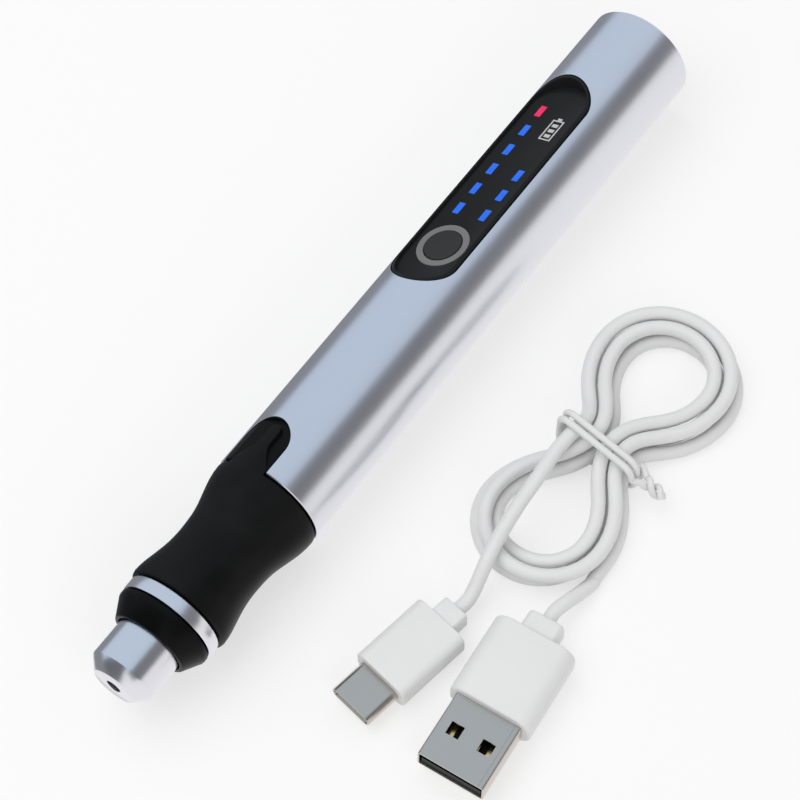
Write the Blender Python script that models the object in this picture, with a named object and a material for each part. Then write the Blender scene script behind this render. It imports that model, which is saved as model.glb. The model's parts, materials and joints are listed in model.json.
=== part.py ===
"""Electric engraving pen with its charging lead, built as separate pieces.

The pen lies on a table along X, nose towards -X, with the table at Z = 0.
Its pieces are children of the empty pen_axis, which sits at the nose tip on the
axis of the pen: their X is the distance from the nose tip, called a station,
and their Z is the direction that the flat panel faces. The charging lead lies
beside the pen, wound into a tied hank. Everything is in metres.
"""
import math

import bmesh
import bpy
from mathutils import Matrix, Vector

MM = 0.001

# Gaps and overruns
CLEAR = 0.3 * MM
RUNNING = 0.15 * MM
BAR_CLEAR = 0.12 * MM
SOLDER = 0.1 * MM
OVERRUN = 1.0 * MM
MERGE = 0.0005 * MM

# Facets round the turned pieces
BARREL_SIDES = 48
SLEEVE_SIDES = 36
SHAFT_SIDES = 24
SMALL_SIDES = 16
ARC_STEPS = 8

# Barrel
BARREL_WALL = 1.2 * MM
BARREL_CHAMFER = 0.35 * MM
PANEL_ROLL = math.radians(23.3)

# Nose: chuck nut and collet
NOSE_REACH = 8.9 * MM
NOSE_RADIUS = 5.88 * MM
NOSE_TIP_RADIUS = 3.9 * MM
NOSE_CHAMFER = 2.2 * MM
NUT_TUCK = 2.7 * MM
NUT_MOUTH_RADIUS = 1.35 * MM
NUT_MOUTH_DEPTH = 1.3 * MM
NUT_CONE_DEPTH = 1.7 * MM
NUT_CONE_RADIUS = 2.95 * MM
THREAD_RADIUS = 3.0 * MM
COLLET_BORE_RADIUS = 1.22 * MM
COLLET_WALL = 0.73 * MM
COLLET_LIP = 0.3 * MM
COLLET_HEAD_RADIUS = 2.7 * MM
COLLET_HEAD_LENGTH = 2.1 * MM
COLLET_LENGTH = 10.8 * MM
COLLET_SLIT = 0.45 * MM
COLLET_SLIT_LENGTH = 7.6 * MM

# Collar and trim ring
COLLAR_LIP = 0.6 * MM
COLLAR_CONE_LENGTH = 3.0 * MM
COLLAR_CONE_STEP = 0.25 * MM
COLLAR_LENGTH = 4.1 * MM
SKIRT_LENGTH = 2.4 * MM
SKIRT_WALL = 0.9 * MM
TRIM_LENGTH = 2.5 * MM
TRIM_WALL = 0.85 * MM
TRIM_EDGE = 0.25 * MM

# Grip sleeve
GRIP_FRONT_STEP = 0.53 * MM
GRIP_WAIST_WALL = 1.25 * MM
GRIP_EDGE = 0.7 * MM
GRIP_WAIST_START = 9.8 * MM
GRIP_WAIST_LENGTH = 2.4 * MM
GRIP_SHOULDER = 3.0 * MM
GRIP_STEPS = 6

# Front housing
BARREL_SETBACK = 2.8 * MM
SPIGOT_WALL = 1.25 * MM
HOUSING_WALL = 0.7 * MM
CUP_LENGTH = 12.7 * MM
MOTOR_GAP = 1.2 * MM
WEB_THICKNESS = 3.0 * MM
NOTCH_HALF_WIDTH = 4.15 * MM
NOTCH_LENGTH = 10.0 * MM
TONGUE_SINK = 0.9 * MM

# Bearings and shaft line
BEARING_RADIUS = 5.0 * MM
BEARING_BORE = 2.5 * MM
BEARING_WIDTH = 4.0 * MM
RACE_SHARE = 0.28
BALL_SHARE = 0.26
CAGE_SHARE = 0.16
GROOVE_SHARE = 0.8
BALL_COUNT = 7
CAGE_WIDTH = 0.8 * MM
BEARING_SPAN = 18.9 * MM
SEAL_WIDTH = 1.4 * MM
SHOULDER_HEIGHT = 0.9 * MM
SHOULDER_LENGTH = 1.8 * MM
SPINDLE_BORE_DEPTH = 22.4 * MM
COLLET_SEAT_DEPTH = 8.4 * MM
SPINDLE_TAIL_RADIUS = 1.6 * MM
SPINDLE_TAIL_LENGTH = 3.4 * MM
CIRCLIP_WIDTH = 0.6 * MM
CIRCLIP_OPENING = 1.6 * MM
COUPLING_RADIUS = 3.2 * MM
COUPLING_LENGTH = 6.9 * MM

# Motor
MOTOR_LENGTH = 24.7 * MM
MOTOR_WALL = 0.6 * MM
MOTOR_FACE = 1.0 * MM
MOTOR_SHAFT_RADIUS = 0.75 * MM
MAGNET_THICKNESS = 0.8 * MM
AIR_GAP = 0.6 * MM
ARMATURE_LENGTH = 15.0 * MM
ARMATURE_CORE_RADIUS = 2.0 * MM
POLE_COUNT = 3
POLE_ANGLE = math.radians(88.0)
POLE_NECK = 1.8 * MM
POLE_TIP = 1.1 * MM
MOTOR_CAP_LENGTH = 1.8 * MM
MOTOR_CAP_SPIGOT = 1.6 * MM
TERMINAL_LENGTH = 2.4 * MM
TERMINAL_WIDTH = 1.6 * MM
TERMINAL_THICKNESS = 0.5 * MM
TERMINAL_SPREAD = 4.0 * MM
WIRE_SPACE = 1.7 * MM

# Panel
PANEL_SETBACK = 5.0 * MM
PANEL_TAIL = 6.9 * MM
PANEL_HALF_WIDTH = 6.5 * MM
PANEL_LIP = 0.5 * MM
PANEL_SINK = 0.1 * MM
PANEL_FLOOR_SINK = 0.2 * MM
PANEL_FLOOR = 1.0 * MM
BUTTON_SETBACK = 10.6 * MM
BUTTON_RADIUS = 3.45 * MM
BUTTON_PROUD = 0.2 * MM
BUTTON_EDGE = 0.15 * MM
BUTTON_TRAVEL = 0.25 * MM
BUTTON_FLANGE_RADIUS = 4.4 * MM
BUTTON_FLANGE = 0.5 * MM
RING_WIDTH = 1.1 * MM
RING_PROUD = 0.05 * MM
BAR_LENGTH = 2.6 * MM
BAR_WIDTH = 1.3 * MM
BAR_PROUD = 0.03 * MM
GUIDE_PLATE = 0.5 * MM
GUIDE_EDGE = 0.5 * MM
FIRST_BAR_SETBACK = 8.55 * MM
RED_BAR_SETBACK = 7.75 * MM
LEFT_COLUMN = 2.8 * MM
RIGHT_COLUMN = 3.05 * MM
LEFT_BLUE_BARS = 5
RIGHT_BLUE_BARS = 3

# Cell, tray and circuit board
CELL_RADIUS = 5.0 * MM
CELL_LENGTH = 44.0 * MM
CELL_NUB_RADIUS = 2.0 * MM
CELL_NUB = 0.8 * MM
CELL_EDGE = 0.4 * MM
TRAY_WALL = 0.9 * MM
TRAY_TAIL = 14.4 * MM
SWITCH_SPACE = 2.2 * MM
BULKHEAD = 1.2 * MM
SCREW_BULKHEAD = 4.0 * MM
WIRE_HOLE_RADIUS = 2.0 * MM
BOARD_LIFT = 0.5 * MM
BOARD_THICKNESS = 1.0 * MM
BOARD_INSET = 0.4 * MM
CHIP_LENGTH = 1.6 * MM
CHIP_WIDTH = 0.8 * MM
CHIP_HEIGHT = 0.5 * MM
PART_SINK = 0.3 * MM
CONTROLLER_SIZE = 3.4 * MM
CONTROLLER_HEIGHT = 0.9 * MM
CHARGER_SIZE = 3.0 * MM
COIL_SIZE = 4.0 * MM
COIL_HEIGHT = 1.6 * MM
CHARGER_SETBACK = 8.4 * MM
COIL_SETBACK = 3.4 * MM
SWITCH_SIZE = 5.2 * MM
SWITCH_HEIGHT = 0.9 * MM
PLUNGER_RADIUS = 0.9 * MM
PLUNGER_REACH = 0.35 * MM
SCREW_SPREAD = 5.0 * MM
SCREW_RADIUS = 0.6 * MM
SCREW_HEAD_RADIUS = 1.2 * MM
SCREW_HEAD = 0.7 * MM
SCREW_LENGTH = 4.5 * MM

# Rear end: cap and charging socket
CAP_RECESS = 0.5 * MM
CAP_FACE = 1.8 * MM
CAP_SKIRT = 8.0 * MM
CAP_WALL = 0.9 * MM
CAP_LEDGE = 0.7 * MM
CHARGE_BOARD_THICKNESS = 1.0 * MM
CHARGE_BOARD_DEPTH = 1.5 * MM
SOCKET_HALF_WIDTH = 4.47 * MM
SOCKET_HALF_HEIGHT = 1.63 * MM
SOCKET_WALL = 0.3 * MM
SOCKET_SINK = 0.2 * MM
SOCKET_BASE = 1.5 * MM
SOCKET_TONGUE_WIDTH = 6.7 * MM
SOCKET_TONGUE_THICKNESS = 0.7 * MM
SOCKET_TONGUE_SETBACK = 0.8 * MM

# Charging lead: cord and hank
CORD_RADIUS = 1.25 * MM
CORD_GAP = 0.75 * MM
HANK_X = 5.5 * MM
HANK_Y = -38.0 * MM
HANK_TURN = math.radians(-3.0)
HANK_TURNS = 3.5
POINTS_PER_TURN = 24
SIDE_POINTS = 3
HANK_START_POINTS = 3
RIGHT_LOBE_REACH = 18.0 * MM
LEFT_LOBE_REACH = 13.0 * MM
RIGHT_LOBE_RADIUS = 7.5 * MM
LEFT_LOBE_RADIUS = 7.5 * MM
WAIST_HALF_GAP = 0.8 * MM
WAIST_LIFT = 1.85 * MM
WAIST_LIFT_REACH = 9.0 * MM
HANK_FAN = math.radians(3.0)
LEAVING_CLIMB = 2.0 * MM
LEAVING_RUN = 10.0 * MM
LEAVING_START = 5.0 * MM
LEAVING_LENGTH = 5.3 * MM
LEAVING_POINTS = 4
CORD_POINT_SPACING = 3.0 * MM
FACE_GAP = 0.3 * MM
TIE_RADIUS = 0.6 * MM
TIE_GAP = 0.4 * MM
TIE_CLEAR = 0.6 * MM
TIE_DRIFT = 0.8 * MM
TIE_CORNER_STEPS = 3
TIE_TURNS = 2
TIE_END_LENGTH = 6.0 * MM
TIE_END_MERGE = 2.0 * MM
TIE_END_DROP = math.radians(20.0)
TIE_END_TWIST = math.radians(200.0)
TIE_END_STEPS = 12

# Small plug of the lead
C_TIP_X = -55.5 * MM
C_TIP_Y = -30.5 * MM
C_HEADING = math.radians(170.0)
C_SHELL_HALF_WIDTH = 4.17 * MM
C_SHELL_HALF_HEIGHT = 1.28 * MM
C_SHELL_WALL = 0.3 * MM
C_SHELL_LENGTH = 6.65 * MM
C_BODY_LENGTH = 14.0 * MM
C_BODY_WIDTH = 10.8 * MM
C_BODY_HEIGHT = 5.4 * MM
C_BODY_EDGE = 1.1 * MM
C_COLLAR_LENGTH = 3.4 * MM
C_COLLAR_WIDTH = 5.4 * MM
C_COLLAR_HEIGHT = 4.4 * MM
C_CONTACT_WIDTH = 6.8 * MM
C_CONTACT_THICKNESS = 0.5 * MM

# Large plug of the lead
A_TIP_X = -56.0 * MM
A_TIP_Y = -50.3 * MM
A_HEADING = math.radians(184.0)
A_SHELL_HALF_WIDTH = 6.0 * MM
A_SHELL_HALF_HEIGHT = 2.25 * MM
A_SHELL_WALL = 0.3 * MM
A_SHELL_LENGTH = 12.0 * MM
A_WINDOW_SIZE = 2.3 * MM
A_WINDOW_SPREAD = 2.85 * MM
A_WINDOW_SETBACK = 6.2 * MM
A_BODY_LENGTH = 15.0 * MM
A_BODY_WIDTH = 14.8 * MM
A_BODY_HEIGHT = 7.4 * MM
A_BODY_EDGE = 1.5 * MM
A_COLLAR_LENGTH = 3.6 * MM
A_COLLAR_WIDTH = 7.0 * MM
A_COLLAR_HEIGHT = 5.6 * MM
A_TONGUE_HEIGHT = 1.9 * MM
PLUG_TUCK = 1.2 * MM

# Free stretches of the cord, from the hank to each plug: places on the table
LEAD_C_ROUTE = [(-7.5, -30.3, 8.1), (-12.0, -31.3, 8.0), (-16.5, -32.5, 7.6),
                (-20.6, -33.9, 6.3), (-24.1, -35.0, 4.5), (-26.7, -35.5, 3.1)]
LEAD_A_ROUTE = [(-16.6, -50.1, 1.7), (-19.8, -48.6, 2.9)]

# The barrel's radius follows from what is stacked in it: from the tube's wall under
# the cell up to the panel's flat face, which spans a known width of the round tube
panel_stack = (BARREL_WALL + TRAY_WALL + CLEAR * 2 + CELL_RADIUS * 2 + BOARD_LIFT + BOARD_THICKNESS
               + SWITCH_SPACE + PANEL_FLOOR + PANEL_FLOOR_SINK)
barrel_radius = (panel_stack ** 2 + PANEL_HALF_WIDTH ** 2) / (panel_stack * 2)
barrel_inner = barrel_radius - BARREL_WALL
carrier_radius = barrel_inner - CLEAR
pitch = CORD_RADIUS * 2 + CORD_GAP

# Radii from the bearings outwards, and of the motor inwards from the housing
bearing_seat = BEARING_RADIUS + RUNNING
race_wall = (BEARING_RADIUS - BEARING_BORE) * RACE_SHARE
ball_radius = (BEARING_RADIUS - BEARING_BORE) * BALL_SHARE
cage_wall = (BEARING_RADIUS - BEARING_BORE) * CAGE_SHARE
land_radius = BEARING_RADIUS - race_wall - SOLDER
shoulder_radius = BEARING_BORE + SHOULDER_HEIGHT
seal_inner = shoulder_radius + CLEAR
journal_radius = BEARING_BORE - RUNNING
spigot_radius = bearing_seat + SPIGOT_WALL
skirt_inner = spigot_radius + CLEAR
skirt_outer = skirt_inner + SKIRT_WALL
trim_radius = skirt_outer + CLEAR + TRIM_WALL
grip_front_radius = trim_radius + GRIP_FRONT_STEP
grip_waist_radius = skirt_inner + GRIP_WAIST_WALL
collar_bore = NOSE_RADIUS + CLEAR
motor_radius = carrier_radius - HOUSING_WALL - CLEAR
motor_inner = motor_radius - MOTOR_WALL
armature_radius = motor_inner - CLEAR - MAGNET_THICKNESS - AIR_GAP
collet_radius = COLLET_BORE_RADIUS + COLLET_WALL
collet_bore_in_spindle = collet_radius + CLEAR

# Stations from the nose tip to the rear, each from the one before
collar_front = NOSE_REACH
nut_rear = NOSE_REACH + NUT_TUCK
collar_rear = collar_front + COLLAR_LENGTH
skirt_rear = collar_rear + SKIRT_LENGTH
trim_front = collar_rear + CLEAR
trim_rear = trim_front + TRIM_LENGTH
grip_front = trim_rear + CLEAR
spigot_front = nut_rear + CLEAR * 3
seal_front = spigot_front + CLEAR
seal_rear = seal_front + SEAL_WIDTH
front_bearing = seal_rear + CLEAR
rear_bearing = front_bearing + BEARING_SPAN
barrel_front = rear_bearing + BEARING_WIDTH + BARREL_SETBACK
grip_rear = barrel_front - CLEAR
shoulder_front = front_bearing - CLEAR - SHOULDER_LENGTH
collet_front = NUT_MOUTH_DEPTH + CLEAR * 2
collet_rear = collet_front + COLLET_LENGTH
spindle_front = collet_front + COLLET_HEAD_LENGTH + COLLET_HEAD_RADIUS - collet_radius
circlip_front = rear_bearing + BEARING_WIDTH + CLEAR
journal_rear = circlip_front + CIRCLIP_WIDTH + CLEAR
spindle_rear = journal_rear + SPINDLE_TAIL_LENGTH
coupling_front = journal_rear + CLEAR
coupling_rear = coupling_front + COUPLING_LENGTH
web_rear = coupling_rear + MOTOR_GAP
motor_front = web_rear + CLEAR
motor_rear = motor_front + MOTOR_LENGTH
motor_cap_rear = motor_rear + CLEAR + MOTOR_CAP_LENGTH
tray_front = motor_cap_rear + CLEAR + TERMINAL_LENGTH + WIRE_SPACE
cell_front = tray_front + BULKHEAD + CLEAR
screw_bulkhead_front = cell_front + CELL_LENGTH + CLEAR
screw_station = screw_bulkhead_front + SCREW_BULKHEAD / 2
tray_rear = screw_bulkhead_front + SCREW_BULKHEAD + TRAY_TAIL
cap_front = tray_rear + CLEAR
cap_face = cap_front + CAP_SKIRT + CAP_FACE
pen_length = cap_face + CAP_RECESS
charge_board_front = cap_front + CHARGE_BOARD_DEPTH
charge_board_rear = charge_board_front + CHARGE_BOARD_THICKNESS
socket_front = charge_board_rear + CLEAR
socket_rear = cap_face - SOCKET_SINK

# Panel over the tray: the button's and the bars' stations
panel_front = tray_front + PANEL_SETBACK
panel_rear = tray_rear - PANEL_TAIL
button_station = panel_front + BUTTON_SETBACK
first_bar = button_station + FIRST_BAR_SETBACK
bar_pitch = (panel_rear - RED_BAR_SETBACK - first_bar) / LEFT_BLUE_BARS

# Heights from the axis towards the panel
panel_height = math.sqrt(barrel_radius ** 2 - PANEL_HALF_WIDTH ** 2) - PANEL_FLOOR_SINK
panel_underside = panel_height - PANEL_FLOOR
ring_outer = BUTTON_RADIUS + CLEAR + RING_WIDTH
tray_inner = carrier_radius - TRAY_WALL
cell_height = -(tray_inner - CLEAR - CELL_RADIUS)
board_bottom = cell_height + CELL_RADIUS + BOARD_LIFT
board_top = board_bottom + BOARD_THICKNESS
rail_top = board_bottom - CLEAR
board_half_width = math.sqrt(barrel_inner ** 2 - board_top ** 2) - BOARD_INSET


def clear_scene():
    """Remove what the file opened with."""
    for item in list(bpy.data.objects):
        bpy.data.objects.remove(item, do_unlink=True)


def finish(name, colour, roughness, metallic):
    """A plain Principled material."""
    material = bpy.data.materials.new(name)
    material.use_nodes = True
    shader = material.node_tree.nodes["Principled BSDF"]
    shader.inputs["Base Color"].default_value = (*colour, 1.0)
    shader.inputs["Roughness"].default_value = roughness
    shader.inputs["Metallic"].default_value = metallic
    return material


def make_finishes():
    """The finishes read from the photograph, one for each kind of surface."""
    return {
        "anodised": finish("anodised_aluminium", (0.62, 0.66, 0.72), 0.32, 1.0),
        "nose": finish("satin_metal", (0.66, 0.70, 0.77), 0.28, 1.0),
        "steel": finish("bearing_steel", (0.60, 0.60, 0.62), 0.25, 1.0),
        "brass": finish("brass", (0.78, 0.62, 0.32), 0.35, 1.0),
        "copper": finish("copper_winding", (0.72, 0.38, 0.22), 0.40, 1.0),
        "rubber": finish("black_rubber", (0.02, 0.02, 0.022), 0.65, 0.0),
        "black": finish("black_plastic", (0.03, 0.03, 0.032), 0.40, 0.0),
        "gloss": finish("gloss_black", (0.02, 0.02, 0.022), 0.12, 0.0),
        "grey": finish("ring_grey", (0.23, 0.23, 0.23), 0.45, 0.0),
        "button": finish("button_black", (0.05, 0.05, 0.05), 0.40, 0.0),
        "blue": finish("blue_light", (0.03, 0.18, 0.85), 0.30, 0.0),
        "red": finish("red_light", (0.80, 0.03, 0.12), 0.30, 0.0),
        "board": finish("board_green", (0.02, 0.16, 0.07), 0.50, 0.0),
        "cell": finish("cell_wrap", (0.10, 0.28, 0.55), 0.45, 0.0),
        "magnet": finish("magnet_grey", (0.12, 0.12, 0.13), 0.55, 0.2),
        "white": finish("lead_white", (0.82, 0.82, 0.83), 0.45, 0.0),
        "plug": finish("plug_metal", (0.62, 0.62, 0.62), 0.30, 1.0),
    }


def make_object(name, mesh, material, parent):
    """Link a mesh under its name, as a child of the frame it is built in."""
    item = bpy.data.objects.new(name, mesh)
    bpy.context.collection.objects.link(item)
    item.data.materials.append(material)
    item.parent = parent
    return item


def to_mesh(name, shape, smooth=True):
    """Turn bmesh data into a mesh whose faces point outwards."""
    bmesh.ops.recalc_face_normals(shape, faces=shape.faces[:])
    mesh = bpy.data.meshes.new(name)
    shape.to_mesh(mesh)
    shape.free()
    if smooth:
        mesh.shade_smooth()
        mesh.set_sharp_from_angle(angle=math.radians(32.0))
    return mesh


def turned_shape(outline, sides):
    """Spin an outline of (station, radius) points about the axis of the pen."""
    shape = bmesh.new()
    rim = [shape.verts.new((station, 0.0, radius)) for station, radius in outline]
    open_on_axis = outline[0][1] == 0.0 and outline[-1][1] == 0.0
    pairs = list(zip(rim, rim[1:]))
    if not open_on_axis:
        pairs.append((rim[-1], rim[0]))
    edges = [shape.edges.new(pair) for pair in pairs]
    bmesh.ops.spin(shape, geom=rim + edges, cent=(0.0, 0.0, 0.0), axis=(1.0, 0.0, 0.0),
                   angle=math.tau, steps=sides, use_duplicate=False)
    bmesh.ops.remove_doubles(shape, verts=shape.verts[:], dist=MERGE)
    return shape


def turned(name, outline, sides, material, parent):
    """A turned piece."""
    mesh = to_mesh(name, turned_shape(outline, sides))
    return make_object(name, mesh, material, parent)


def add_prism(shape, outline, low, high, axis="Z"):
    """Add a closed prism: an outline pushed from low to high along an axis."""
    def place(first, second, height):
        if axis == "Z":
            return (first, second, height)
        return (height, first, second)
    bottom = [shape.verts.new(place(a, b, low)) for a, b in outline]
    top = [shape.verts.new(place(a, b, high)) for a, b in outline]
    shape.faces.new(bottom)
    shape.faces.new(top)
    for index in range(len(outline)):
        after = (index + 1) % len(outline)
        shape.faces.new((bottom[index], bottom[after], top[after], top[index]))


def add_box(shape, centre, size):
    """Add a box by its centre and full size."""
    low = [c - s / 2 for c, s in zip(centre, size)]
    high = [c + s / 2 for c, s in zip(centre, size)]
    outline = [(low[0], low[1]), (high[0], low[1]), (high[0], high[1]), (low[0], high[1])]
    add_prism(shape, outline, low[2], high[2])


def add_cylinder(shape, first, second, radius, low, high, sides):
    """Add an upright cylinder at a place on the plan."""
    outline = []
    for index in range(sides):
        angle = math.tau * index / sides
        outline.append((first + radius * math.cos(angle), second + radius * math.sin(angle)))
    add_prism(shape, outline, low, high)


def stadium(front, rear, half_width, steps=ARC_STEPS):
    """Outline of a slot along X with round ends."""
    points = []
    for centre, start in ((rear - half_width, -math.pi / 2), (front + half_width, math.pi / 2)):
        for index in range(steps + 1):
            angle = start + math.pi * index / steps
            points.append((centre + half_width * math.cos(angle), half_width * math.sin(angle)))
    return points


def solid(name, shape, material, parent, smooth=True):
    """A piece from bmesh data."""
    return make_object(name, to_mesh(name, shape, smooth), material, parent)


def cutter(name, shape, material, parent):
    """A shape that only cuts or trims others."""
    item = solid(name, shape, material, parent)
    item.hide_render = True
    item.display_type = "WIRE"
    return item


def combine(item, other, operation):
    """Add a Boolean modifier."""
    modifier = item.modifiers.new(other.name, "BOOLEAN")
    modifier.operation = operation
    modifier.solver = "EXACT"
    modifier.object = other


def blend(share):
    """Smooth step from 0 to 1."""
    return (1.0 - math.cos(math.pi * min(max(share, 0.0), 1.0))) / 2.0


def build_chuck_nut(parent, looks):
    """Silver nose: a cap nut whose inner cone closes the collet."""
    outline = [
        (0.0, NUT_MOUTH_RADIUS), (0.0, NOSE_TIP_RADIUS), (NOSE_CHAMFER, NOSE_RADIUS),
        (nut_rear, NOSE_RADIUS), (nut_rear, THREAD_RADIUS + CLEAR),
        (NUT_MOUTH_DEPTH + NUT_CONE_DEPTH, THREAD_RADIUS + CLEAR),
        (NUT_MOUTH_DEPTH + NUT_CONE_DEPTH, NUT_CONE_RADIUS),
        (NUT_MOUTH_DEPTH, NUT_MOUTH_RADIUS),
    ]
    turned("chuck_nut", outline, SLEEVE_SIDES, looks["nose"], parent)


def build_collet(parent, looks):
    """Slit sleeve: a cone head, a straight tail and crossed slits from the front."""
    head_cone = COLLET_HEAD_RADIUS - (COLLET_BORE_RADIUS + COLLET_LIP)
    head_rear = collet_front + COLLET_HEAD_LENGTH
    neck = head_rear + (COLLET_HEAD_RADIUS - collet_radius) / 2
    outline = [
        (collet_front, COLLET_BORE_RADIUS), (collet_front, COLLET_BORE_RADIUS + COLLET_LIP),
        (collet_front + head_cone, COLLET_HEAD_RADIUS), (head_rear, COLLET_HEAD_RADIUS),
        (neck, collet_radius), (collet_rear, collet_radius), (collet_rear, COLLET_BORE_RADIUS),
    ]
    collet = turned("collet", outline, SMALL_SIDES, looks["steel"], parent)
    slits = bmesh.new()
    length = COLLET_SLIT_LENGTH + OVERRUN
    centre = collet_front + COLLET_SLIT_LENGTH - length / 2
    wide = (COLLET_HEAD_RADIUS + OVERRUN) * 2
    add_box(slits, (centre, 0.0, 0.0), (length, COLLET_SLIT, wide))
    across = bmesh.new()
    add_box(across, (centre, 0.0, 0.0), (length, wide, COLLET_SLIT))
    for index, shape in enumerate((slits, across)):
        slit = cutter("collet_slit_%d" % index, shape, looks["steel"], parent)
        combine(collet, slit, "DIFFERENCE")


def build_collar(parent, looks):
    """Black collar: a coned ring with a skirt that screws onto the housing."""
    outline = [
        (collar_front, collar_bore), (collar_front, collar_bore + COLLAR_LIP),
        (collar_front + COLLAR_CONE_LENGTH, trim_radius - COLLAR_CONE_STEP),
        (collar_front + (COLLAR_CONE_LENGTH + COLLAR_LENGTH) / 2, trim_radius - CLEAR / 4),
        (collar_rear, trim_radius - CLEAR / 4), (collar_rear, skirt_outer),
        (skirt_rear, skirt_outer), (skirt_rear, skirt_inner),
        (nut_rear + CLEAR * 2, skirt_inner), (nut_rear + CLEAR * 2, collar_bore),
    ]
    turned("nose_collar", outline, SLEEVE_SIDES, looks["black"], parent)


def build_trim_ring(parent, looks):
    """Thin metal ring between collar and grip."""
    inner = skirt_outer + CLEAR
    outline = [
        (trim_front, inner), (trim_front, trim_radius - TRIM_EDGE),
        (trim_front + TRIM_EDGE, trim_radius), (trim_rear - TRIM_EDGE, trim_radius),
        (trim_rear, trim_radius - TRIM_EDGE), (trim_rear, inner),
    ]
    turned("trim_ring", outline, SLEEVE_SIDES, looks["nose"], parent)


def grip_outline():
    """Waisted outer line of the grip, from its front edge to its rear flare."""
    points = [(grip_front, trim_radius), (grip_front + GRIP_EDGE / 4, grip_front_radius - GRIP_EDGE / 4)]
    flare = grip_front + GRIP_EDGE
    waist_start = grip_front + GRIP_WAIST_START
    waist_end = waist_start + GRIP_WAIST_LENGTH
    rear = grip_rear - GRIP_EDGE / 2
    for index in range(GRIP_STEPS + 1):
        share = index / GRIP_STEPS
        radius = grip_front_radius + (grip_waist_radius - grip_front_radius) * blend(share)
        points.append((flare + (waist_start - flare) * share, radius))
    for index in range(GRIP_STEPS + 1):
        share = index / GRIP_STEPS
        radius = grip_waist_radius + (barrel_radius - grip_waist_radius) * blend(share)
        points.append((waist_end + (rear - waist_end) * share, radius))
    points.append((grip_rear, barrel_radius - GRIP_EDGE / 2))
    return points


def build_grip(parent, looks):
    """Soft sleeve pulled over the housing, with a step for the housing's shoulder."""
    step = grip_rear - GRIP_SHOULDER
    outline = grip_outline()
    outline += [(grip_rear, carrier_radius + CLEAR), (step, carrier_radius + CLEAR),
                (step, skirt_inner), (grip_front, skirt_inner)]
    turned("grip_sleeve", outline, SLEEVE_SIDES, looks["rubber"], parent)


def build_housing(parent, looks):
    """Inner housing: bearing seats, motor cup and the tongue in the barrel's notch."""
    shoulder = grip_rear - GRIP_SHOULDER + CLEAR
    cup_rear = motor_front + CUP_LENGTH
    web_front = web_rear - WEB_THICKNESS
    land_front = front_bearing + BEARING_WIDTH + CLEAR
    land_rear = rear_bearing - CLEAR
    outline = [
        (spigot_front, bearing_seat), (spigot_front, spigot_radius), (shoulder, spigot_radius),
        (shoulder, carrier_radius), (cup_rear, carrier_radius), (cup_rear, motor_radius + CLEAR),
        (web_rear, motor_radius + CLEAR), (web_rear, COUPLING_RADIUS + CLEAR * 2),
        (web_front, COUPLING_RADIUS + CLEAR * 2), (web_front, bearing_seat),
        (land_rear, bearing_seat), (land_rear, land_radius),
        (land_front, land_radius), (land_front, bearing_seat),
    ]
    housing = turned("front_housing", outline, SLEEVE_SIDES, looks["black"], parent)
    tongue = bmesh.new()
    half_width = NOTCH_HALF_WIDTH - CLEAR
    apex = barrel_front + NOTCH_LENGTH - CLEAR
    outline = [(x, y) for x, y in stadium(barrel_front - half_width, apex, half_width)
               if x > barrel_front]
    outline += [(barrel_front, half_width), (barrel_front, -half_width)]
    add_prism(tongue, outline, (motor_radius + carrier_radius + CLEAR) / 2, barrel_radius - TONGUE_SINK)
    tongue = cutter("tongue_shape", tongue, looks["black"], parent)
    combine(housing, tongue, "UNION")


def build_barrel(parent, looks):
    """Tube with an oval slot for the panel and a U notch at the front."""
    edge = BARREL_CHAMFER
    outline = [
        (barrel_front, barrel_inner), (barrel_front, barrel_radius - edge),
        (barrel_front + edge, barrel_radius), (pen_length - edge, barrel_radius),
        (pen_length, barrel_radius - edge), (pen_length, barrel_inner),
    ]
    barrel = turned("barrel_tube", outline, BARREL_SIDES, looks["anodised"], parent)
    cuts = bmesh.new()
    top = barrel_radius + OVERRUN
    add_prism(cuts, stadium(panel_front, panel_rear, PANEL_HALF_WIDTH), panel_height / 2, top)
    notch = [(x, y) for x, y in stadium(barrel_front, barrel_front + NOTCH_LENGTH, NOTCH_HALF_WIDTH)
             if x > barrel_front + NOTCH_HALF_WIDTH]
    notch += [(barrel_front - OVERRUN, NOTCH_HALF_WIDTH), (barrel_front - OVERRUN, -NOTCH_HALF_WIDTH)]
    add_prism(cuts, notch, panel_height / 2, top)
    combine(barrel, cutter("barrel_openings", cuts, looks["anodised"], parent), "DIFFERENCE")


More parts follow.
